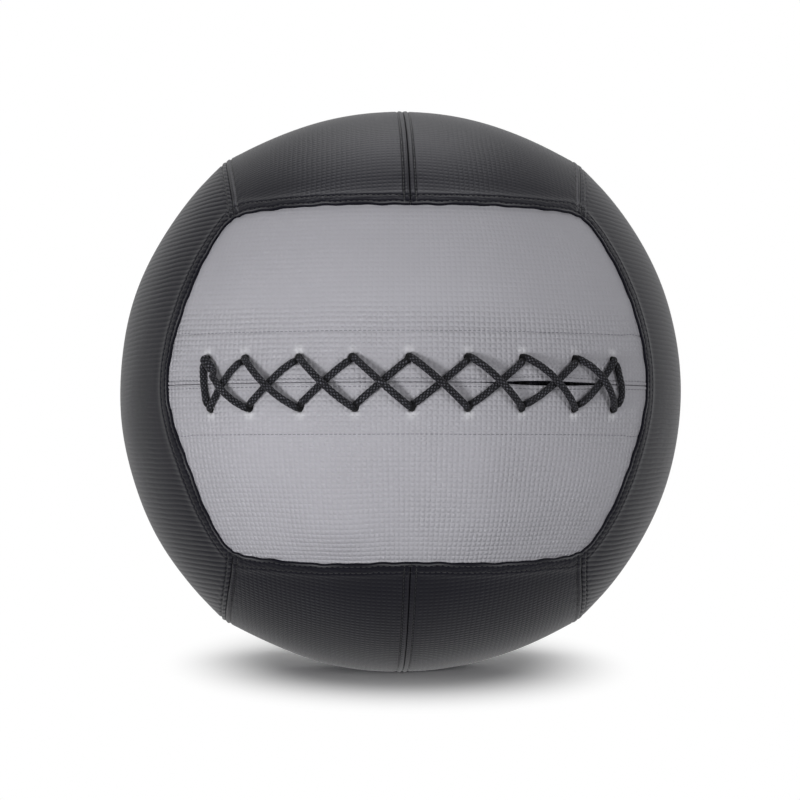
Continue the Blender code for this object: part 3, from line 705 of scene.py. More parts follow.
def panel_lines(first, last, spacing, rates, more=()):
    """Lines of a panel one way: rows of a share, a distance from it and a place in the wall.

    Both ends have the wall's lines and the close ones, and even lines lie between. More lines may
    follow the close ones at the end that is the face's middle.
    """
    def edge(share, inward):
        distances = np.concatenate([EDGE_LINES, more]) if share == 0 else EDGE_LINES
        rows = [(share, inward * EDGE_LINES[0], k + 1) for k in range(len(WALL_DEPTHS))]
        return rows + [(share, inward * distance, 0) for distance in distances]

    def margin(share):
        reach = more[-1] if share == 0 and len(more) else EDGE_LINES[-1]
        return (reach + spacing) / rates[share]

    low, high = first + margin(first), last - margin(last)
    count = int(round((high - low) * max(rates.values()) / spacing)) + 1
    middle = [(share, 0, 0) for share in np.linspace(low, high, count)]
    return np.array(edge(first, 1) + middle + edge(last, -1)[::-1])


def edge_distance(lines, share):
    """Each line's distance from one edge of the panel, and far away for the other lines."""
    own = (lines[:, 0] == share) & (lines[:, 1] != 0)
    return np.where(own, np.abs(lines[:, 1]), FAR_AWAY)


def shifted(lines, rates, moves):
    """Shares of all crossings: a line's share, and its distance and moves over the local rate."""
    shares = np.repeat(lines[:, :1], next(iter(rates.values())).shape[-1], axis=1)
    for share, rate in rates.items():
        own = (lines[:, 0] == share) & (lines[:, 1] != 0)
        offset = lines[:, 1:2] + moves.get(share, np.zeros_like(shares))
        shares = np.where(own[:, None], share + offset / rate[None], shares)
    return shares


# %% The depths of a panel's edges
def laid(way, values):
    """Values of a panel's lines one way, laid out so that they spread over its grid."""
    return values[:, None] if way == "u" else values[None]


def edge_reliefs(kinds, distances, runs):
    """The depth of all edges' profiles together, and a painted highlight along the laps' folds.

    A seam's profile ends under a lap, and of two edges beside the grey the deeper one counts.
    """
    depth, dip, seam, shut, edge = np.zeros((5, *runs["u"].shape))
    for (way, share), kind in kinds.items():
        distance, run = distances[way, share], runs[way]
        relief = RELIEFS[kind](distance, run)
        if kind == "under":
            dip = np.maximum(dip, relief)
        elif kind == "seam":
            seam = seam + relief
        else:
            depth = depth + relief
        # a painted highlight along the lap's fold, broken by a wave
        if kind == "lap":
            shut = np.maximum(shut, 1 - smooth(*SHUT_FADE, distance))
            fold_highlight = 0.5 + 0.5 * pucker(run, FOLD_HIGHLIGHT_WAVE)
            edge = np.maximum(edge, fold_highlight * bell(distance, *FOLD_HIGHLIGHT_LINE))
    return depth + seam * (1 - shut) + dip, edge


def with_walls(depth, kinds, lines):
    """The depths with those of the lines in the walls, where the cloth is turned in."""
    wall = np.zeros(depth.shape)
    for (way, share), kind in kinds.items():
        depths = LAP_WALL_DEPTHS if kind == "lap" else WALL_DEPTHS
        number = np.where(lines[way][:, 0] == share, lines[way][:, 2], 0).astype(int)
        own = laid(way, np.concatenate([[-FAR_AWAY], depths])[number])
        wall = np.where(own > -FAR_AWAY, np.maximum(wall, own + 2 * FAR_AWAY), wall)
    return np.where(wall > 0, wall - 2 * FAR_AWAY, depth)


# %% The unevenness of the cover
WAVE_COUNT, WAVE_RATES, WAVE_DEPTH, PHASE_END = 10, (7, 19), 0.00009, 6.3
LOOSE_SHARES = (4.5, 1.0)
LOOSE_ASIDE, LOOSE_ALONG = ((0.3, 0.5), (0.7, 0.95)), (0.6, 0.9)
FOLD_PLACES, FOLD_WIDTH, FOLD_RISE = (-0.17, 0.27), 0.11, 0.0011
FOLD_FADES = ((0.08, 0.3), (0.4, 0.85))


def panel_swell(face, u, v):
    """Soft unevenness of the stuffed cover: a few long waves over the ball's directions.

    The grey cloth is looser in the middle of its lower half, and a little in its upper half, and
    two soft folds run down from the slit.
    """
    places = ball_directions(face, u, v)
    generator = np.random.default_rng(7)
    swell = np.zeros(u.shape)
    for _ in range(WAVE_COUNT):
        way = unit(generator.normal(size=3)) * generator.uniform(*WAVE_RATES)
        swell += np.sin(places @ way + generator.uniform(0, PHASE_END)) * WAVE_DEPTH
    if face is not FRONT:
        return swell

    def between(fades, values):
        return smooth(*fades[0], values) * (1 - smooth(*fades[1], values))

    inner = between(LOOSE_ASIDE, np.abs(v)) * (1 - smooth(*LOOSE_ALONG, np.abs(u)))
    folds = sum(bell(u, place, FOLD_WIDTH) for place in FOLD_PLACES) * between(FOLD_FADES, -v)
    return swell * (1 + np.where(v < 0, *LOOSE_SHARES) * inner) - FOLD_RISE * folds


# %% The outer surface of a panel
def panel_grid(name, spacing, more=()):
    """The outer surface of a panel as arrays, with its edges' profiles and its laps' painted
    highlight.

    The lines near an edge first move by the lap's reach or the slit's opening. Then the stitches'
    pull moves all lines, and fades with the fourth or the third power of the share.
    """
    face, half, end_kinds, side_kinds = PANELS[name]
    sides = (0, half) if half > 0 else (half, 0)
    kinds = {("u", -1): end_kinds[0], ("u", 1): end_kinds[1],
             ("v", 0): side_kinds[0], ("v", half): side_kinds[1]}
    even = np.linspace(-1, 1, RATE_PLACES)
    least = {s: line_rates(face, s, even[even * half >= 0], False).min() for s in (-1, 1)}
    u_lines = panel_lines(-1, 1, spacing, least)
    least = {s: line_rates(face, s, even, True).min() for s in sides}
    v_lines = panel_lines(*sides, 2 * spacing if len(more) else spacing, least, more)
    u_rates = {s: line_rates(face, s, v_lines[:, 0], False) for s in (-1, 1)}
    v_rates = {s: line_rates(face, s, u_lines[:, 0], True) for s in sides}
    u = shifted(u_lines, u_rates, {})
    v = shifted(v_lines, v_rates, {}).T
    bare = on_ball(face, u, v, 0)
    lines = {"u": u_lines, "v": v_lines}
    runs = {"u": run_along(bare, 1), "v": run_along(bare, 0)}
    distances = {(way, share): laid(way, edge_distance(lines[way], share))
                 for way, share in kinds}

    def from_corner(way):
        low, high = sides if way == "u" else (-1, 1)
        run = runs[way]
        last = run[:, -1:] if way == "u" else run[-1:]
        return np.minimum.reduce([run] * (low == -1) + [last - run] * (high == 1))

    moves = {"u": {}, "v": {}}
    for (way, share), kind in kinds.items():
        inward = 1 if share == -1 or (share == 0 and half > 0) else -1
        if kind == "lap":
            shift = -inward * lap_shift(from_corner(way), distances[way, share])
        elif kind == "slit":
            shift = inward * gape(u[:, :1]) * (1 - smooth(*SLIT_FADE, distances[way, share]))
        else:
            continue
        moves[way][share] = shift if way == "u" else shift.T
    u = shifted(u_lines, u_rates, moves["u"])
    v = shifted(v_lines, v_rates, moves["v"]).T
    for (way, share), kind in kinds.items():
        if kind == "lap" and way == "u":
            pull = share * lap_pull(name, v) / laid("v", u_rates[share])
            u = u + pull * ((1 + share * u) / 2) ** 4
        elif kind == "lap":
            pull = share * lap_pull(name, u) / laid("u", v_rates[share])
            v = v + pull * np.abs(v) ** 3
    depth, edge = edge_reliefs(kinds, distances, runs)
    depth = with_walls(depth + panel_swell(face, u, v), kinds, lines)
    return {"points": on_ball(face, u, v, depth), "lines": lines, "kinds": kinds, "face": face,
            "edge": edge}


def cloth_places(grid):
    """Places on the flat cloth: the turn and the height of each direction, times the radius."""
    outward, along, across = grid["face"]
    ways = unit(grid["points"] - CENTRE)
    height = np.arcsin(np.clip(ways @ across, -1, 1))
    turn = np.arctan2(ways @ along, ways @ outward) * math.cos(SEAM_ANGLE / 2)
    if outward[0]:
        turn = ways @ along
    return np.stack([turn, height], axis=-1) * FACE_RADIUS / CLOTH_SIDE + 0.5


# %% [markdown]
# ## The lace's way
# The lace climbs the left end, crosses to and fro through the holes to the right end, climbs that
# and comes back over its own strands. Its route is the model's, worked out again here, but the
# two strands in a hole are pressed closer together than solids can be.

# %% Holes and strands
UPPER_HOLE_SHARES = (-0.8, -0.635, -0.42, -0.22, -0.015, 0.2, 0.41, 0.63, 0.815)
LOWER_HOLE_SHARES = (-0.785, -0.61, -0.41, -0.205, 0, 0.205, 0.41, 0.63, 0.815)
HOLE_COUNT = len(UPPER_HOLE_SHARES)
LAST_HOLE = HOLE_COUNT - 1
HOLE_OFFSET = 0.0133
STRAND_STEP = 0.0024
HOLE_LEAN = 0.0004
STRAND_BELLY = 0.0015
LEFT_BELLY = 0.0003
RIGHT_BELLY = 0.0026
BELLY_LEAN_SHARE = 1.2
SIDE_TURN_SHARE = 0.3
PLAIN_SHARES = np.array([0.25, 0.5, 0.75])
CROSSING_SHARES = np.array([0.2, 0.35, 0.5, 0.65, 0.8])
KNOT_WIDTH_SHARE = 1.4
KNOT_LENGTH = 0.010
KNOT_LIFT = 0.0003
KNOT_SHARES = ((1.1, 1.0), (0.7, 1.4), (0.1, 1.4), (-0.15, 0.9))
TAIL_LENGTH, TAIL_WAY = 0.010, (-1, 0.5)
NEAR, FAR = -1, 1

SLIT_SHARES = np.linspace(-1, 1, 81)
SLIT_PLACES = FACE_RADIUS * np.arcsin(ball_directions(FRONT, SLIT_SHARES, 0 * SLIT_SHARES)[:, 0])


def beside_slit(along, aside, height):
    """A point over the grey face, by its distances along and aside from the slit's middle."""
    u = np.interp(along, SLIT_PLACES, SLIT_SHARES)
    return on_ball(FRONT, u, aside / line_rates(FRONT, 0, u, True), -np.asarray(height))


def hole_place(hole, row, part):
    """Where a strand goes through. Two strands share a hole, the near one and the far one."""
    along = (LOWER_HOLE_SHARES if row < 0 else UPPER_HOLE_SHARES)[hole] * SLIT_PLACES[-1]
    lean = -HOLE_LEAN if hole * 2 == LAST_HOLE * (1 + row) else HOLE_LEAN
    return np.array([along + row * part * lean, row * (HOLE_OFFSET + part * STRAND_STEP / 2)])


# %% A strand's way in, over and under
def bend(rise):
    """A quarter turn over a hole's rim, as steps aside and up, from the hole outward."""
    angles = (0, math.pi / 4, math.pi / 2)
    return [(rise * (1 - math.cos(angle)), rise * math.sin(angle)) for angle in angles]


def passage(place, outside, inside):
    """A strand's way in at a hole: rows of distances along, aside and up, and a width."""
    widths = (SQUEEZE_SHARE, (1 + SQUEEZE_SHARE) / 2, 1)
    rows = [(*(place + outside * step), up, width)
            for (step, up), width in zip(bend(LACE_RADIUS + LACE_CLEARANCE), widths)][::-1]
    return rows + [(*(place + inside * step), -UNDER_STRIP - down, SQUEEZE_SHARE)
                   for step, down in bend(LACE_IN_HOLE + LACE_CLEARANCE)]


def strand(start, end, belly, lift):
    """A strand outside, bowed aside as a half sine that leans to one end, and lifted as one.

    Gives its rows, and the directions in which they leave the first hole and the second.
    """
    run = end - start
    aside = unit(np.array([run[1], -run[0]])) * belly
    lean = math.copysign(BELLY_LEAN_SHARE, belly if lift else -belly)

    def place(share):
        bow = math.sin(math.pi * share) * (1 + lean * (2 * share - 1))
        return start + run * share + aside * bow

    rows = [(*place(share), LACE_RADIUS + LACE_CLEARANCE + lift * math.sin(math.pi * share), 1)
            for share in (CROSSING_SHARES if lift else PLAIN_SHARES)]
    return rows, unit(place(STEP_SHARE) - start), unit(place(1 - STEP_SHARE) - end)


def under_run(high, low):
    """A strand inside, from an upper hole and part down to a lower one."""
    top, bottom = hole_place(high[0], 1, NEAR), hole_place(low[0], -1, NEAR)
    if high[1] == FAR:
        top[0] += SIDE_STEP
    if low[1] == FAR:
        bottom[0] += -SIDE_STEP if high == (LAST_HOLE, NEAR) else SIDE_STEP
    places = [(top + bottom) / 2]
    reach = HOLE_OFFSET - STRAND_STEP
    turn = HOLE_OFFSET + STRAND_STEP * (1 / 2 - SIDE_TURN_SHARE)
    if high[1] == FAR:
        places = [np.array([top[0], turn]), np.array([top[0], reach]), *places]
    if low[1] == FAR:
        places += [np.array([bottom[0], -reach]), np.array([bottom[0], -turn])]
    return places


# %% The whole lace
def strand_belly(hole):
    """The bow of a crossing strand: to the right on the ball's right, to the left on its left."""
    return STRAND_BELLY * ((2 * hole + 1) / LAST_HOLE - 1)


def lace_route():
    """The whole lace from its tucked-in tail to its knot."""
    order = [((0, NEAR), (0, NEAR), -LEFT_BELLY, 0)]
    for hole in range(LAST_HOLE):
        low_part = FAR if hole == 0 else NEAR
        high_part = FAR if hole + 1 == LAST_HOLE else NEAR
        order.append(((hole, low_part), (hole + 1, high_part), strand_belly(hole), 0))
    order.append(((LAST_HOLE, NEAR), (LAST_HOLE, NEAR), RIGHT_BELLY, 0))
    for hole in reversed(range(LAST_HOLE)):
        order.append(((hole + 1, FAR), (hole, FAR), strand_belly(hole), CROSSING_LIFT))
    inside = unit(np.array(TAIL_WAY))
    tail = hole_place(0, -1, NEAR) + inside * TAIL_LENGTH
    rows = [(*tail, -LACE_RUN_DEPTH, SQUEEZE_SHARE)]
    for number, (low, high, belly, lift) in enumerate(order):
        low_place, high_place = hole_place(low[0], -1, low[1]), hole_place(high[0], 1, high[1])
        over, leaving, arriving = strand(low_place, high_place, belly, lift)
        rows += passage(low_place, leaving, inside)[::-1]
        if number + 1 == len(order):
            height = (LACE_RADIUS + LACE_CLEARANCE) * KNOT_WIDTH_SHARE + KNOT_LIFT
            rows += over[:-1]
            rows += [(*(high_place + arriving * KNOT_LENGTH * share), height, width)
                     for share, width in KNOT_SHARES]
            return np.array(rows)
        next_low = order[number + 1][0]
        next_place = hole_place(next_low[0], -1, next_low[1])
        under = under_run(high, next_low)
        rows += over + passage(high_place, arriving, unit(under[0] - high_place))
        rows += [(*place, -LACE_RUN_DEPTH, SQUEEZE_SHARE) for place in under]
        inside = unit(under[-1] - next_place)


route = lace_route()
route_points = beside_slit(route[:, 0], route[:, 1], route[:, 2])
print("lace:", len(route), "points,", run_along(route_points, 0)[-1].round(3), "m")

# %% Slots for the strands
def hole_slots(depth):
    """The two ends of all eighteen slots in the grey face, at a depth."""
    ends = []
    for part in (NEAR, FAR):
        places = np.array([hole_place(hole, row, part)
                           for row in (1, -1) for hole in range(HOLE_COUNT)])
        ends.append(beside_slit(places[:, 0], places[:, 1], -depth))
    return ends


def slot_distance(points, near, far):
    """The distance of points from a slot's middle line, seen square to the ball."""
    run = far - near
    outward = unit((near + far) / 2 - CENTRE)
    offset = points - near
    offset = offset - (offset @ outward)[..., None] * outward
    share = np.clip(offset @ run / (run @ run), 0, 1)
    aside = offset - share[..., None] * run
    return np.linalg.norm(aside, axis=-1), aside


# %% [markdown]
# ## Holes with rims
# Where the lace goes through the cloth, the faces inside each slot are left out, and the points of
# the faces round it are moved out to the slot's edge. The cloth dips towards the hole, and past
# it the pull of the lace raises a little crease.

# %% Open the holes
NEAR_HOLE = 5
DIMPLE_DEPTH, DIMPLE_WIDTH = 0.0007, 0.0036
# a crease's and a painted highlight's bells: middle and width up from the hole, and width aside
CREASE_RISE, CREASE_UP, CREASE_ASIDE = 0.0006, (0.0045, 0.0018), 0.0022
GLINT_UP, GLINT_ASIDE, GLINT_SHIFT = (0.0034, 0.0022), 0.0016, 0.0012
# the strongest and the weakest share of the painted highlights past the holes
GLINT_SHARE, GLINT_LEAST = 0.7, 0.35


def open_holes(points, faces, radius, depth):
    """Leaves out the faces inside the slots, and moves their rims out to the slots' edge."""
    points = points.reshape(-1, 3).copy()
    inside = np.zeros(len(points), bool)
    for near, far in zip(*hole_slots(depth)):
        distance, aside = slot_distance(points, near, far)
        beside = np.linalg.norm(points - (near + far) / 2, axis=1) < NEAR_HOLE * radius
        within = (distance < radius) & beside
        inside |= within
        push = np.where(within, radius / np.maximum(distance, 1e-5) - 1, 0)
        points += aside * push[:, None]
    return points, faces[~inside[faces].all(axis=1)]


def hole_dimples(points):
    """The depth round the holes: a dimple, and past it a crease that points away from the slit.

    With it comes a painted highlight, a pale streak past each hole beside its crease.
    """
    depth, pulled = np.zeros(points.shape[:-1]), np.zeros(points.shape[:-1])
    strengths = np.random.default_rng(4).uniform(GLINT_LEAST, 1, 2 * HOLE_COUNT)
    for number, (near, far) in enumerate(zip(*hole_slots(0))):
        distance, _ = slot_distance(points, near, far)
        outward = unit((near + far) / 2 - CENTRE)
        away = Z * (1 if number < HOLE_COUNT else -1)
        offset = points - far
        rise = offset @ away
        sideways = np.linalg.norm(offset - rise[..., None] * away
                                  - (offset @ outward)[..., None] * outward, axis=-1)
        depth += DIMPLE_DEPTH * bell(distance, 0, DIMPLE_WIDTH)
        depth -= CREASE_RISE * bell(rise, *CREASE_UP) * bell(sideways, 0, CREASE_ASIDE)
        # a painted highlight past each hole, each with its own strength
        glint = bell(rise, *GLINT_UP) * bell(sideways - GLINT_SHIFT, 0, GLINT_ASIDE)
        pulled = np.maximum(pulled, GLINT_SHARE * glint * strengths[number])
    return depth, pulled


# %% [markdown]
# A panel is made as one layer, and a Solidify modifier gives it its thickness. Where the cloth is
# drawn hard its weave lies flatter, so the points carry the weave's depth as an attribute, and
# one finish serves all panels of a colour.

# %% Make the panels
BLACK_SPACING, GREY_SPACING = 0.0021, 0.00085
# how pale the painted highlight on the laps' folds turns the black
FOLD_HIGHLIGHT_SHARE = 0.2
WEAVE_SHARES = {"front": 2.2, "top": 0.4, "bottom": 0.6, "left": 1.6, "right": 2.2}
# name: the two heights between which the cloth gets more drawn, and the weave's depth above
DRAWN = {"front_upper": (0.03, 0.048, 0.7), "right_front": (-0.04, 0.05, 0.5)}
RIBBED = ("left", "right")


def weave_share(name, points):
    """How deep the weave is: the harder the cloth is drawn, the flatter it lies."""
    share = WEAVE_SHARES.get(name.split("_")[0], 1.0)
    rise = (points - CENTRE)[..., 2]
    low, high, least = DRAWN.get(name, (FAR_AWAY, 2 * FAR_AWAY, 1))
    return share + (least - share) * smooth(low, high, rise)


def add_panel(name):
    """One panel of the cover, with a real thickness, in place of its solid."""
    grey = PANELS[name][0] is FRONT
    grid = panel_grid(name, GREY_SPACING if grey else BLACK_SPACING, SLIT_LINES if grey else ())
    points = grid["points"]
    # painted highlight along the laps' folds, and on the grey face past the holes
    pulled = FOLD_HIGHLIGHT_SHARE * grid["edge"]
    if grey:
        dimples, pulled = hole_dimples(points)
        points = points - unit(points - CENTRE) * dimples[..., None]
        grid["points"] = points
    faces = grid_faces(*points.shape[:2])
    rim_points = points
    if grey:
        rim_points, faces = open_holes(points, faces, HOLE_RADIUS, 0)
    piece = add_piece(name + "_hide", rim_points, faces,
                      grey_leatherette if grey else black_leatherette, cloth_places(grid),
                      emboss=weave_share(name, points), ribs=name.startswith(RIBBED),
                      pulled=pulled, weld=True)
    thicken(piece, HIDE_SHEET)
    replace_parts(piece, name + "_panel")
    length, width = (float(run_along(points, axis).max()) for axis in (0, 1))
    area = float(np.linalg.norm(np.cross(np.diff(points[:, :-1], axis=0),
                                         np.diff(points[:-1], axis=1)), axis=-1).sum())
    print(f"{name}: cut {length * 1000:.0f} x {width * 1000:.0f} mm, {area * 1e4:.0f} cm2,",
          len(faces), "faces")
    return grid


grids = {name: add_panel(name) for name in PANELS}


# %% [markdown]
# ## Stitches
# Each stitch is a short thick thread that dips into the cloth at both ends. There are more than
# two thousand, so one stitch has few faces, and all those of a panel are one piece.

# %% One stitch
BLACK_PITCH, GREY_PITCH = 0.0032, 0.00265
STITCH_LENGTH = 0.0026
STITCH_RADIUS = 0.00027
STITCH_SIDES = 6
# a ring's place along the stitch, its width and its height, as shares
STITCH_RINGS = np.array([(-0.86, 0.75, -0.8), (-0.4, 1, 0.1), (0.4, 1, 0.1), (0.86, 0.75, -0.8)])
TIP_SINK = 1.6
ROW_MARGIN, STITCH_LIFT = 0.0016, 0.00012
GREY_STITCH_SHARES = (0.82, 0.6, 0.6)


def stitch_shape():
    """One stitch along x: rings that swell from a point and back, sunk at both ends."""
    along = STITCH_RINGS[:, :1] * STITCH_LENGTH / 2
    width, lift = (STITCH_RINGS[:, k:k + 1] * STITCH_RADIUS for k in (1, 2))
    k = np.arange(STITCH_SIDES)
    turn = k * 2 * math.pi / STITCH_SIDES
    rings = np.stack(np.broadcast_arrays(along, width * np.cos(turn), width * np.sin(turn)
                                         + lift), axis=-1).reshape(-1, 3)
    tips = np.array([[side * STITCH_LENGTH / 2, 0, -TIP_SINK * STITCH_RADIUS]
                     for side in (-1, 1)])
    count = len(rings)
    following = (k + 1) % STITCH_SIDES
    first = np.stack([following, k, np.full_like(k, count)], axis=-1)
    last_ring = count - STITCH_SIDES
    last = np.stack([last_ring + k, last_ring + following, np.full_like(k, count + 1)], axis=-1)
    quads = grid_faces(len(STITCH_RINGS), STITCH_SIDES, closed=True)
    return np.concatenate([rings, tips]), quads, first, last


def resampled(points, pitch, margin):
    """Places at an even pitch along a line of points, and the line's directions there."""
    run = run_along(points, 0)
    count = max(int((run[-1] - 2 * margin) / pitch), 1)
    places = margin + (np.arange(count) + 0.5) * (run[-1] - 2 * margin) / count
    at = [np.stack([np.interp(places + step, run, points[:, k]) for k in range(3)], axis=-1)
          for step in (-pitch / 4, 0, pitch / 4)]
    return at[1], unit(at[2] - at[0])


print("faces of a stitch:", sum(len(part) for part in stitch_shape()[1:]))

# %% Stitches along a row
def sew(name, rows, finish, shares):
    """A piece of stitches along rows of points, each row with its own pitch."""
    centre, way = (np.concatenate(part) for part in
                   zip(*(resampled(points, pitch, ROW_MARGIN) for points, pitch in rows)))
    outward = unit(centre - CENTRE)
    side = unit(np.cross(outward, way))
    upward = np.cross(way, side)
    shape, quads, *ends = stitch_shape()
    shape = shape * shares
    points = (centre[:, None] + shape[None, :, :1] * way[:, None]
              + shape[None, :, 1:2] * side[:, None]
              + (shape[None, :, 2:] + STITCH_LIFT) * upward[:, None])
    first = np.arange(len(centre))[:, None, None] * len(shape)
    faces = [(part[None] + first).reshape(-1, part.shape[1]) for part in (quads, *ends)]
    piece = add_piece(name, points, faces, finish)
    return len(centre)


# %% Every row of every panel
SEWN_ROWS = {"seam": (SEAM_ROW,), "lap": LAP_ROWS, "slit": (HEM_ROW, BAND_ROW), "under": ()}


def grid_rows(name):
    """The lines of a panel's grid that its stitches run along, with the pitch of each row."""
    grid = grids[name]
    for (way, share), kind in grid["kinds"].items():
        lines = grid["lines"][way]
        for distance in SEWN_ROWS[kind]:
            own = (lines[:, 0] == share) & (lines[:, 2] == 0)
            own &= np.isclose(np.abs(lines[:, 1]), distance, atol=1e-6)
            number = int(np.flatnonzero(own)[0])
            points = grid["points"][number] if way == "u" else grid["points"][:, number]
            yield points, GREY_PITCH if grid["face"] is FRONT else BLACK_PITCH


stitch_count = 0
for name, (face, *_) in PANELS.items():
    grey = face is FRONT
    stitch_count += sew(name + "_stitching", list(grid_rows(name)),
                        stuff["grey_thread" if grey else "black_thread"],
                        GREY_STITCH_SHARES if grey else (1, 1, 1))
print("stitches:", stitch_count)

# %% [markdown]
# ## The lace
# The lace is one braided cord. Its route is smoothed, a ring of points is carried along it, and
# the strands of the braid are pressed into the ring's radius: two sets of them wind opposite ways,
# and each square between their crossings bulges.

# %% Braid the lace
LACE_SIDES = 24
RING_STEP = 0.00043
STRANDS_ROUND = 6
STRAND_LENGTH = 0.0026
BRAID_RELIEF = 0.13
SMOOTHING = 0.0026
LACE_END, OVAL_WIDTH, OVAL_FLATNESS = 0.0016, 1.07, 0.15


def turns(count):
    """Even angles of a whole turn."""
    return np.linspace(0, 2 * math.pi, count, endpoint=False)


def smoothed_route(points, widths):
    """The route at even steps, its bends rounded: each point is an average of its neighbours.

    Their weights rise and fall over a short stretch as one plus a cosine.
    """
    run = run_along(points, 0)
    fine = np.arange(0, run[-1], RING_STEP / 2)
    rows = np.stack([np.interp(fine, run, row) for row in (*points.T, widths)], axis=-1)
    half = int(SMOOTHING / RING_STEP)
    weights = np.hanning(2 * half + 3)[1:-1]
    weights /= weights.sum()
    padded = np.concatenate([np.repeat(rows[:1], half, 0), rows, np.repeat(rows[-1:], half, 0)])
    rows = np.stack([np.convolve(row, weights, "valid") for row in padded.T], axis=-1)
    run = run_along(rows[:, :3], 0)
    even = np.linspace(0, run[-1], int(run[-1] / RING_STEP))
    return np.stack([np.interp(even, run, row) for row in rows.T], axis=-1), even


# %% The braided surface
def lace_surface():
    """Rings round the route: an oval, flatter towards the ball, whose radius carries the braid."""
    rows, run = smoothed_route(route_points, route[:, 3])
    places, widths = rows[:, :3], rows[:, 3]
    way = unit(np.gradient(places, axis=0))
    side = unit(np.cross(way, X))
    upward = np.cross(side, way)
    turn = turns(LACE_SIDES)
    a, b = (STRANDS_ROUND * turn / (2 * math.pi) + hand * (run / STRAND_LENGTH)[:, None]
            for hand in (1, -1))
    crown = np.sqrt(np.abs(np.sin(math.pi * a) * np.sin(math.pi * b)))
    ends = np.sqrt(np.clip(np.minimum(run, run[-1] - run) / LACE_END, 0, 1))
    radius = LACE_RADIUS * (widths * ends)[:, None] * (1 - BRAID_RELIEF * (1 - crown))
    offset = radius[..., None] * (np.cos(turn)[:, None] * side[:, None]
                                  + np.sin(turn)[:, None] * upward[:, None])
    outward = unit(places - CENTRE)[:, None]
    lift = (offset * outward).sum(axis=-1, keepdims=True)
    # where the lace is squeezed into a hole its pale crowns fade, as painted shade
    crown = crown * smooth(SQUEEZE_SHARE, 1, widths)[:, None]
    return places[:, None] + OVAL_WIDTH * offset - OVAL_FLATNESS * lift * outward, crown


lace_points, lace_crown = lace_surface()
lace = add_piece("braided_lace", lace_points, grid_faces(*lace_points.shape[:2], closed=True),
                 lace_braid, weld=True, crown=lace_crown)
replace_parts(lace, "lace")
print("lace rings:", len(lace_points))

# %% [markdown]
# ## What lies inside
# The padding, the webbing behind the slit, the tongue under the lace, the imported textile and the
# bag of sand are hidden by the cover, but each is made as it is, so that the ball can be opened.

# %% A sheet with two sides
ROUND_SHARE = 0.7


def flat_places(points):
    """Places on a flat cloth: the distances run along a grid's two ways."""
    return np.stack([run_along(points, 0), run_along(points, 1)], axis=-1) / CLOTH_SIDE


def sheet_points(face, u, v, top, bottom, round_off):
    """A closed sheet: the upper side, thinner towards its edges as a quarter ellipse, and back."""
    bare = on_ball(face, u, v, 0)
    edge = np.minimum.reduce([run_along(bare, 0), run_along(bare[::-1], 0)[::-1],
                              run_along(bare, 1), run_along(bare[:, ::-1], 1)[:, ::-1]])
    inside = 1 - np.clip(edge / round_off, 0, 1)
    sink = (bottom - top) * ROUND_SHARE * (1 - np.sqrt(1 - inside ** 2))
    return on_ball(face, u, v, top + sink), on_ball(face, u, v, bottom)


def closed_sheet(name, upper, lower, finish, uv=None, **shares):
    """A piece of two grids that face apart, joined round their edge."""
    columns, rows = upper.shape[:2]
    ring = np.concatenate([np.arange(columns) * rows,
                           (columns - 1) * rows + np.arange(1, rows),
                           np.arange(columns - 2, -1, -1) * rows + rows - 1,
                           np.arange(rows - 2, 0, -1)])
    following = np.roll(ring, -1)
    under = columns * rows
    rim = np.stack([ring, ring + under, following + under, following], axis=-1)
    faces = np.concatenate([grid_faces(columns, rows),
                            grid_faces(columns, rows, under)[:, ::-1], rim])
    points = np.concatenate([upper.reshape(-1, 3), lower.reshape(-1, 3)])
    both = None if uv is None else np.concatenate([uv.reshape(-1, 2)] * 2)
    return add_piece(name, points, faces, finish, both, **shares)


# %% Pad the panels
SEAM_MARGIN = FIT / 2 + SKIN + FIT
PADDING_SINK, PADDING_ROUND = 0.0012, 0.004
PADDING_LINES = 90, 46


def share_grid(face, half, end_margin, side_margins, columns, rows):
    """Even shares of a half face, inset by distances from its ends and its two sides."""
    ends = np.linspace(-1, 1, columns)[:, None]
    sides = np.linspace(0, 1, rows)[None] * half
    outer = line_rates(face, half, ends[:, 0], True)[:, None]
    middle = line_rates(face, 0, ends[:, 0], True)[:, None]
    end = line_rates(face, 1, sides[0], False)[None]
    u = ends * (1 - end_margin / end)
    low, high = side_margins[0] / middle, 1 - side_margins[1] / outer
    v = half * (low + (high - low) * np.abs(sides))
    u, v = np.broadcast_arrays(u, v)
    return (u, v) if half > 0 else (u[:, ::-1], v[:, ::-1])


for name, (face, half, *_) in PANELS.items():
    inner = STRIP_WIDTH + FIT if face is FRONT else SEAM_MARGIN
    u, v = share_grid(face, half, SEAM_MARGIN, (inner, SEAM_MARGIN), *PADDING_LINES)
    upper, lower = sheet_points(face, u, v, UNDER_SKIN + PADDING_SINK, UNDER_FOAM, PADDING_ROUND)
    piece = closed_sheet(name + "_padding", upper, lower, stuff["padding_foam"])
    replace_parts(piece, name + "_foam")
print("padded panels:", len(PANELS))

# %% [markdown]
# Behind each lip of the slit lies a strip of webbing that keeps the holes from tearing out, and a
# tongue hangs under the lace. Both are grids over the same ball, laid deeper.

# %% The webbing strips and the tongue
WEBBING_SINK, WEBBING_SLACK = 0.0006, 0.0004
WEBBING_LINES, TONGUE_LINES = (300, 38), (120, 34)
TONGUE_ROUND = 0.002

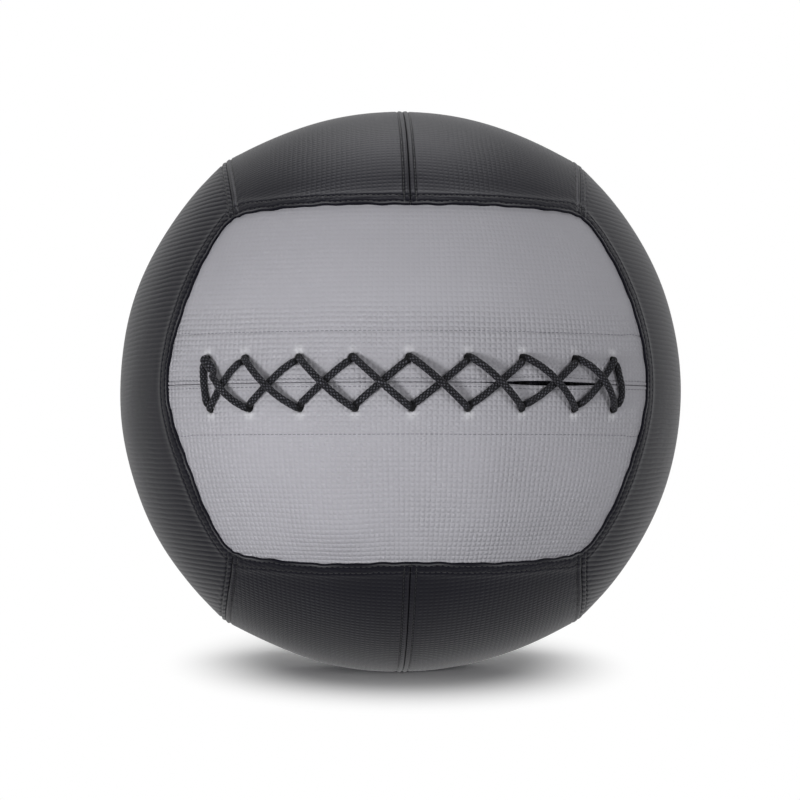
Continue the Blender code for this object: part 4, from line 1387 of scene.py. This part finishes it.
for half, name in ((1, "upper"), (-1, "lower")):
    columns, rows = WEBBING_LINES
    u, _ = share_grid(FRONT, half, SEAM_MARGIN, (SEAM_MARGIN, 0), columns, rows)
    rate = line_rates(FRONT, 0, u[:, 0], True)[:, None]
    share = np.linspace(0, 1, rows)[None, ::half]
    v = half * (SEAM_MARGIN / rate + (STRIP_WIDTH - SEAM_MARGIN) / rate * share)
    points = on_ball(FRONT, u, v, UNDER_SKIN + WEBBING_SINK)
    rim_points, faces = open_holes(points, grid_faces(columns, rows), HOLE_RADIUS, UNDER_SKIN)
    piece = add_piece(name + "_webbing", rim_points, faces, stuff["strip_webbing"],
                      flat_places(points), weld=True)
    thicken(piece, STRIP - WEBBING_SLACK)
    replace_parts(piece, name + "_lacing_strip")
    float(run_along(points, 0).max())

columns, rows = TONGUE_LINES
u = np.linspace(-TONGUE_LENGTH_SHARE, TONGUE_LENGTH_SHARE, columns)[:, None]
reach = TONGUE_WIDTH / 2 / line_rates(FRONT, 0, u[:, 0], True)[:, None]
u, v = np.broadcast_arrays(u, reach * np.linspace(-1, 1, rows)[None])
upper, lower = sheet_points(FRONT, u, v, TONGUE_DEPTH, TONGUE_DEPTH + TONGUE, TONGUE_ROUND)
tongue = closed_sheet("tongue", upper, lower, black_leatherette, flat_places(upper), emboss=1.0)
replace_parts(tongue, "slit_tongue")
float(run_along(upper, 0).max())
print("webbing and tongue made")

# %% [markdown]
# The stuffing is shredded textile, rammed in until the ball is hard. It fills an upper and a lower
# half, each a patchwork of five faces' grids, closed by a flat side with a hollow for the bag.

# %% Lumps and outlines
CORE_RADIUS = 0.058
BAG_WALL = 0.001
NECK_RADIUS = 0.009
NECK_LENGTH = 0.012
MOUTH_RADIUS = 0.014
MOUTH_LENGTH = 0.010
TIE_RADIUS = 0.0015
PACKING_COLUMNS, FLAT_ROWS = 40, 18
BALL_ROWS, SHAFT_ROWS, CAP_ROWS, BOWL_ROWS = 24, 10, 5, 26
# stretches over which the lumps fade to the flat side, and the tongue's dip aside and along
FLAT_FADE, DIP_ASIDE, DIP_ALONG = 0.006, 0.002, (0.005, 0.03)
LUMP_WAVES, LUMP_SIZES = 12, (0.6, 1.6)
# size and depth of the lumps, and the seed of their draws
PACKING_LUMPS, BAG_LUMPS, SAND_LUMPS = (0.09, 0.0015, 3), (1.6, 0.0009, 5), (0.01, 0.0008, 9)


def lumps(points, size, depth, seed):
    """Unevenness of packed cloth: a sum of sine waves that run in random directions.

    A hyperbolic tangent presses the sum between nought and the depth.
    """
    generator = np.random.default_rng(seed)
    height = np.zeros(points.shape[:-1])
    for _ in range(LUMP_WAVES):
        way = unit(generator.normal(size=3)) * generator.uniform(*LUMP_SIZES) * 2 * math.pi / size
        height += np.sin(points @ way + generator.uniform(0, PHASE_END))
    return depth * (0.5 + 0.5 * np.tanh(height / 3))


def arc(radius, start, end, steps):
    """Radii and heights of a ball's outline, between two angles from its top."""
    angles = np.linspace(start, end, steps)
    return np.stack([radius * np.sin(angles), radius * np.cos(angles)], axis=-1)


def dome(radius, cut):
    """The height at which a ball is as wide as a cut's radius."""
    return math.sqrt(radius ** 2 - cut ** 2)


def core_outline():
    """The hollow for the bag, down its side from the top: a well for the neck, then the ball."""
    well = max(MOUTH_RADIUS + FIT, NECK_RADIUS + FIT + 2 * TIE_RADIUS + FIT)
    hollow = CORE_RADIUS + FIT
    top = dome(CORE_RADIUS, NECK_RADIUS) + NECK_LENGTH + MOUTH_LENGTH + BAG_WALL + FIT
    cap = np.linspace((0, top), (well, top), CAP_ROWS, endpoint=False)
    shaft = np.linspace((well, top), (well, dome(hollow, well)), SHAFT_ROWS, endpoint=False)
    ball = arc(hollow, math.asin(well / hollow), math.pi / 2, BALL_ROWS)
    return np.concatenate([cap, shaft, ball])


# %% The outside of the stuffing
def half_grids(side):
    """The grids of the five face patches that lie on one side of the ball's middle plane."""
    columns = PACKING_COLUMNS
    even, positive = np.linspace(-1, 1, 2 * columns + 1), np.linspace(0, 1, columns + 1)
    own = positive if side > 0 else -positive[::-1]
    patches = [(TOP if side > 0 else BOTTOM, even, even)]
    patches += [(face, even, own) for face in (FRONT, BACK)]
    patches += [(face, own, even) for face in (RIGHT, LEFT)]
    for face, along, across in patches:
        yield face, *np.broadcast_arrays(along[:, None], across[None])


def middle_loop():
    """The closed loop of points where the four upright faces cross the ball's middle plane."""
    even = np.linspace(-1, 1, 2 * PACKING_COLUMNS + 1)[:-1]
    stretches = [(FRONT, even, 0 * even), (RIGHT, 0 * even, -even),
                 (BACK, even, 0 * even), (LEFT, 0 * even, -even)]
    return np.concatenate([on_ball(face, u, v, STUFFING_DEPTH) for face, u, v in stretches])


def patch_points(face, u, v):
    """The outside of the stuffing on a face: lumpy, and in front pressed in by the tongue."""
    inward = lumps(ball_directions(face, u, v), *PACKING_LUMPS)
    height = np.abs(on_ball(face, u, v, 0)[..., 2] - CENTRE[2])
    near = 1 - np.clip(height / FLAT_FADE, 0, 1)
    points = on_ball(face, u, v, STUFFING_DEPTH + inward * (1 - near))
    if face is not FRONT:
        return points
    aside = np.abs(v) * line_rates(FRONT, 0, u[:, 0], True)[:, None]
    start, end = (TONGUE_LENGTH_SHARE + more for more in DIP_ALONG)
    under = (1 - smooth(TONGUE_WIDTH / 2 + FIT, TONGUE_WIDTH / 2 + DIP_ASIDE, aside)) \
        * (1 - smooth(start, end, np.abs(u)))
    deep = on_ball(face, u, v, TONGUE_DEPTH + TONGUE + FIT)
    return points + (deep - points) * under[..., None]


# %% Two halves
def flat_side(side, level):
    """A half's flat side and the hollow in it for the bag, as rings from the outside inwards."""
    loop = middle_loop()
    outline = core_outline()[::-1]
    if side < 0:
        outline = arc(CORE_RADIUS + FIT, math.pi / 2, 0, BOWL_ROWS)
    turn = np.arctan2(loop[:, 1] - CENTRE[1], loop[:, 0] - CENTRE[0])
    ways = np.stack([np.cos(turn), np.sin(turn)], axis=-1)
    rim = outline[0, 0] * ways + CENTRE[:2]
    share = np.linspace(0, 1, FLAT_ROWS)[:, None, None]
    flat = loop[None, :, :2] * (1 - share) + rim[None] * share
    flat = np.concatenate([flat, np.full(flat.shape[:2] + (1,), level)], axis=-1)
    hollow = outline[1:, None, :1] * ways[None] + CENTRE[:2]
    heights = np.broadcast_to(CENTRE[2] + side * outline[1:, None, 1:], hollow.shape[:2] + (1,))
    heights = np.where(heights * side < level * side, level, heights)
    return np.concatenate([flat, np.concatenate([hollow, heights], axis=-1)])


def add_packing(name, side):
    """Half of the stuffing: outside patches, a flat side and, in it, the hollow for the bag."""
    level = CENTRE[2] + side * FIT / 2
    lists, faces, count = [], [], 0
    for patch in half_grids(side):
        points = patch_points(*patch)
        lists.append(points.reshape(-1, 3))
        faces.append(grid_faces(*points.shape[:2], count))
        count += points[..., 0].size
    turned = flat_side(side, level)
    lists.append(turned.reshape(-1, 3))
    faces.append(grid_faces(*turned.shape[:2], count, closed=True)[:, ::-side])
    points = np.concatenate(lists)
    points[:, 2] = side * np.maximum(side * points[:, 2], side * level)
    piece = add_piece(name, points, faces, stuff["stuffing_textile"], weld=True)
    return piece


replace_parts(add_packing("upper_packing", 1), "upper_stuffing")
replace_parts(add_packing("lower_packing", -1), "lower_stuffing")
print("stuffing packed in two halves")

# %% [markdown]
# The bag is a round of canvas gathered at its neck, so its folds run to the neck and fade below.
# It is a turned outline whose radius the folds draw in. The iron sand in it has settled to a low
# mound, and a nylon cord ties it.

# %% The bag
BAG_COLUMNS, BAG_ROWS, THROAT_ROWS, FLARE_SHARE = 144, 60, 14, 0.55
BAG_FOLDS, FOLD_DEPTH, FOLD_FADE = 18, 0.0016, 18.0
SLACK_SIZE, SLACK_START = 0.06, 0.02
BAG_THIN_SHARE = 0.7


def turned_grid(outline, columns, inset=0.0):
    """A turned surface from an outline of radii and heights. inset may vary round and down."""
    turn = turns(columns)[None]
    radius = outline[:, :1] - inset
    return np.stack(np.broadcast_arrays(
        CENTRE[0] + radius * np.cos(turn), CENTRE[1] + radius * np.sin(turn),
        CENTRE[2] + outline[:, 1:]), axis=-1)


def bag_outline():
    """The bag's side from its mouth down to its lower pole."""
    share = np.linspace(0, 1, THROAT_ROWS)[:, None]
    flare = (1 - smooth(0, FLARE_SHARE, share)) * (MOUTH_RADIUS - NECK_RADIUS)
    height = dome(CORE_RADIUS, NECK_RADIUS) + (NECK_LENGTH + MOUTH_LENGTH) * (1 - share)
    throat = np.concatenate([NECK_RADIUS + flare, height], axis=-1)
    ball = arc(CORE_RADIUS, math.asin(NECK_RADIUS / CORE_RADIUS), math.pi, BAG_ROWS)
    return np.concatenate([throat[:-1], ball])


outline = bag_outline()
turn = turns(BAG_COLUMNS)[None]
near_neck = np.exp(-np.arange(len(outline))[:, None] / FOLD_FADE)
folds = FOLD_DEPTH * near_neck * (0.5 + 0.5 * np.sin(BAG_FOLDS * turn + 2 * np.sin(3 * turn)))
round_places = np.broadcast_arrays(np.cos(turn), np.sin(turn), outline[:, 1:] / SLACK_SIZE)
slack = lumps(np.stack(round_places, axis=-1), *BAG_LUMPS)
outer = turned_grid(outline, BAG_COLUMNS, folds + slack * smooth(0, SLACK_START, outline[:, :1]))
flat = np.broadcast_arrays(turn * CORE_RADIUS, run_along(outline, 0)[:, None])
bag = add_piece("sand_bag", outer, grid_faces(*outer.shape[:2], closed=True)[:, ::-1],
                stuff["bag_canvas"], np.stack(flat, axis=-1) / CLOTH_SIDE, weld=True)
thicken(bag, BAG_WALL * BAG_THIN_SHARE)
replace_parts(bag, "core_bag")
print("bag faces:", len(bag.data.polygons))

# %% The sand and the tie
FILL_GAP, FILL_ANGLE, MOUND_RISE = 0.0018, math.radians(22.5), 0.003
FILL_COLUMNS, FILL_ROWS, MOUND_ROWS = 120, 50, 12
TIE_COLUMNS, TIE_SIDES, TIE_TWISTS, TIE_RELIEF = 96, 16, 24, 0.08

heap = arc(CORE_RADIUS - BAG_WALL - FIT - FILL_GAP, FILL_ANGLE, math.pi, FILL_ROWS)
share = np.linspace(0, 1, MOUND_ROWS)[:-1, None]
mound = np.concatenate([share * heap[0, 0], heap[0, 1] + MOUND_RISE * (1 - share ** 2)], axis=-1)
fill = turned_grid(np.concatenate([mound, heap]), FILL_COLUMNS)
grains = lumps(fill - CENTRE, *SAND_LUMPS)
fill = fill - unit(fill - CENTRE) * grains[..., None]
sand = add_piece("iron_sand_fill", fill, grid_faces(*fill.shape[:2], closed=True)[:, ::-1],
                 stuff["iron_sand"], weld=True)
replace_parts(sand, "core_fill")

tie_turn, tie_round = turns(TIE_COLUMNS)[:, None], turns(TIE_SIDES)[None]
twist = 0.5 + 0.5 * np.sin(TIE_TWISTS * tie_turn + tie_round)
tie_radius = TIE_RADIUS * (1 - TIE_RELIEF * twist)
tie_ring = NECK_RADIUS + FIT + TIE_RADIUS + tie_radius * np.cos(tie_round)
neck_middle = dome(CORE_RADIUS, NECK_RADIUS) + NECK_LENGTH / 2
tie_points = CENTRE + np.stack([tie_ring * np.cos(tie_turn), tie_ring * np.sin(tie_turn),
                                neck_middle + tie_radius * np.sin(tie_round)], axis=-1)
tie_loop = np.concatenate([tie_points, tie_points[:1]])
tie = add_piece("neck_tie", tie_loop, grid_faces(*tie_loop.shape[:2], closed=True),
                stuff["tie_nylon"], weld=True)
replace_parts(tie, "core_tie")
print("sand and tie made")

# %% [markdown]
# ## Floor and light
# The ball stands on a white floor in a white room. The camera sees the room and the floor at full
# white, but they shine on the ball at a plain level, with a big soft lamp above, one behind the
# ball that the photograph's camera can't see, a weak one low at the right and a small one near
# its left. The white floor fades into its own matte below the ball, in an oval, so that the
# ball's shadow lies there as narrow as in the photograph.

# %% Floor, room and lamps
FLOOR_SIDE = 60.0
SHADOW_FADE = (0.075, 0.155)
SHADOW_STRETCH = (1, 0.48, 1)
SHADOW_MIDDLE = (0, -0.038, 0)
ROOM_LEVEL, FLOOR_LEVEL, FLOOR_SEEN = 0.35, 0.75, 1.15


def white_room():
    """The world: white where the camera or a gloss sees it, dimmer where it lights the ball."""
    world = bpy.data.worlds.new("white_room")
    world.use_nodes = True
    tree = world.node_tree
    rays = node(tree, "LightPath")
    mirrored = node(tree, "Math", {0: rays["Is Glossy Ray"], 1: rays["Is Transmission Ray"]},
                    operation="MAXIMUM")[0]
    seen = node(tree, "Math", {0: rays["Is Camera Ray"], 1: mirrored}, operation="MAXIMUM")[0]
    level = node(tree, "Math", {0: seen, 1: 1 - ROOM_LEVEL, 2: ROOM_LEVEL},
                 operation="MULTIPLY_ADD")[0]
    put(tree, tree.nodes["Background"], {"Color": (1, 1, 1, 1), "Strength": level})
    bpy.context.scene.world = world


def floor_finish():
    """White paint: white for the camera round the ball's shadow, and white in a gloss."""
    made, tree, shader = new_finish("floor_white")
    rays = node(tree, "LightPath")
    colour = node(tree, "Mix", {0: rays["Is Camera Ray"], 6: (*[FLOOR_LEVEL] * 3, 1),
                                7: (*[FLOOR_SEEN] * 3, 1)}, data_type="RGBA")[2]
    matte = node(tree, "BsdfDiffuse", {"Color": colour})[0]
    white = node(tree, "Emission")[0]
    place = node(tree, "TexCoord")["Object"]
    oval = node(tree, "VectorMath", {0: place, 1: SHADOW_STRETCH, 2: SHADOW_MIDDLE},
                operation="MULTIPLY_ADD")[0]
    away = node(tree, "VectorMath", {0: oval}, operation="LENGTH")["Value"]
    far = node(tree, "MapRange", {"Value": away, "From Min": SHADOW_FADE[0],
                                  "From Max": SHADOW_FADE[1]},
               interpolation_type="SMOOTHSTEP")[0]
    share = node(tree, "Math", {0: far, 1: rays["Is Camera Ray"]}, operation="MULTIPLY")[0]
    for kind in ("Is Glossy Ray", "Is Transmission Ray"):
        share = node(tree, "Math", {0: share, 1: rays[kind]}, operation="MAXIMUM")[0]
    both = node(tree, "MixShader", {0: share, 1: matte, 2: white})[0]
    put(tree, tree.nodes["Material Output"], {"Surface": both})
    tree.nodes.remove(shader)
    return made


def white_floor():
    """A painted floor, wide enough to fill the picture."""
    mesh = bpy.data.meshes.new("floor")
    half = FLOOR_SIDE / 2
    mesh.from_pydata([(-half, -half, 0), (half, -half, 0), (half, half, 0), (-half, half, 0)], [],
                     [(0, 1, 2, 3)])
    mesh.materials.append(floor_finish())
    floor = placed("floor", mesh)
    floor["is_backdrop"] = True


def lamp(name, place, size, power, mirrored=True):
    """A square soft lamp that shines at the ball's middle, and may be seen in its gloss."""
    light = bpy.data.lights.new(name, "AREA")
    light.shape = "SQUARE"
    light.size = size
    light.energy = power
    item = placed(name, light)
    item.location = place
    item.rotation_euler = Vector(np.array(place) - CENTRE).to_track_quat("Z", "Y").to_euler()
    item.visible_camera = False
    item.visible_glossy = mirrored


white_room()
white_floor()
lamp("top_lamp", (0, 0.4, 1.6), 0.9, 7.3)
lamp("back_lamp", (0.05, 1.2, 0.24), 0.42, 5.0)
lamp("low_lamp", (0.9, -1.5, 0.3), 0.5, 5.5)
lamp("near_lamp", (-0.3, -0.6, 0.06), 0.12, 1.6, mirrored=False)
bpy.context.scene.view_settings.view_transform = "Standard"
print("lamps:", [light.name for light in bpy.data.lights])

# %% [markdown]
# ## The size
# The boxes of the model and of its looks are worked out, and the looks' box is printed.

# %% Measure the size
low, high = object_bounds()
sizes = {"cad": [list(corner) for corner in CAD_BOX], "visual": [list(low), list(high)]}
print("visual box:", [[round(x, 4) for x in corner] for corner in sizes["visual"]])
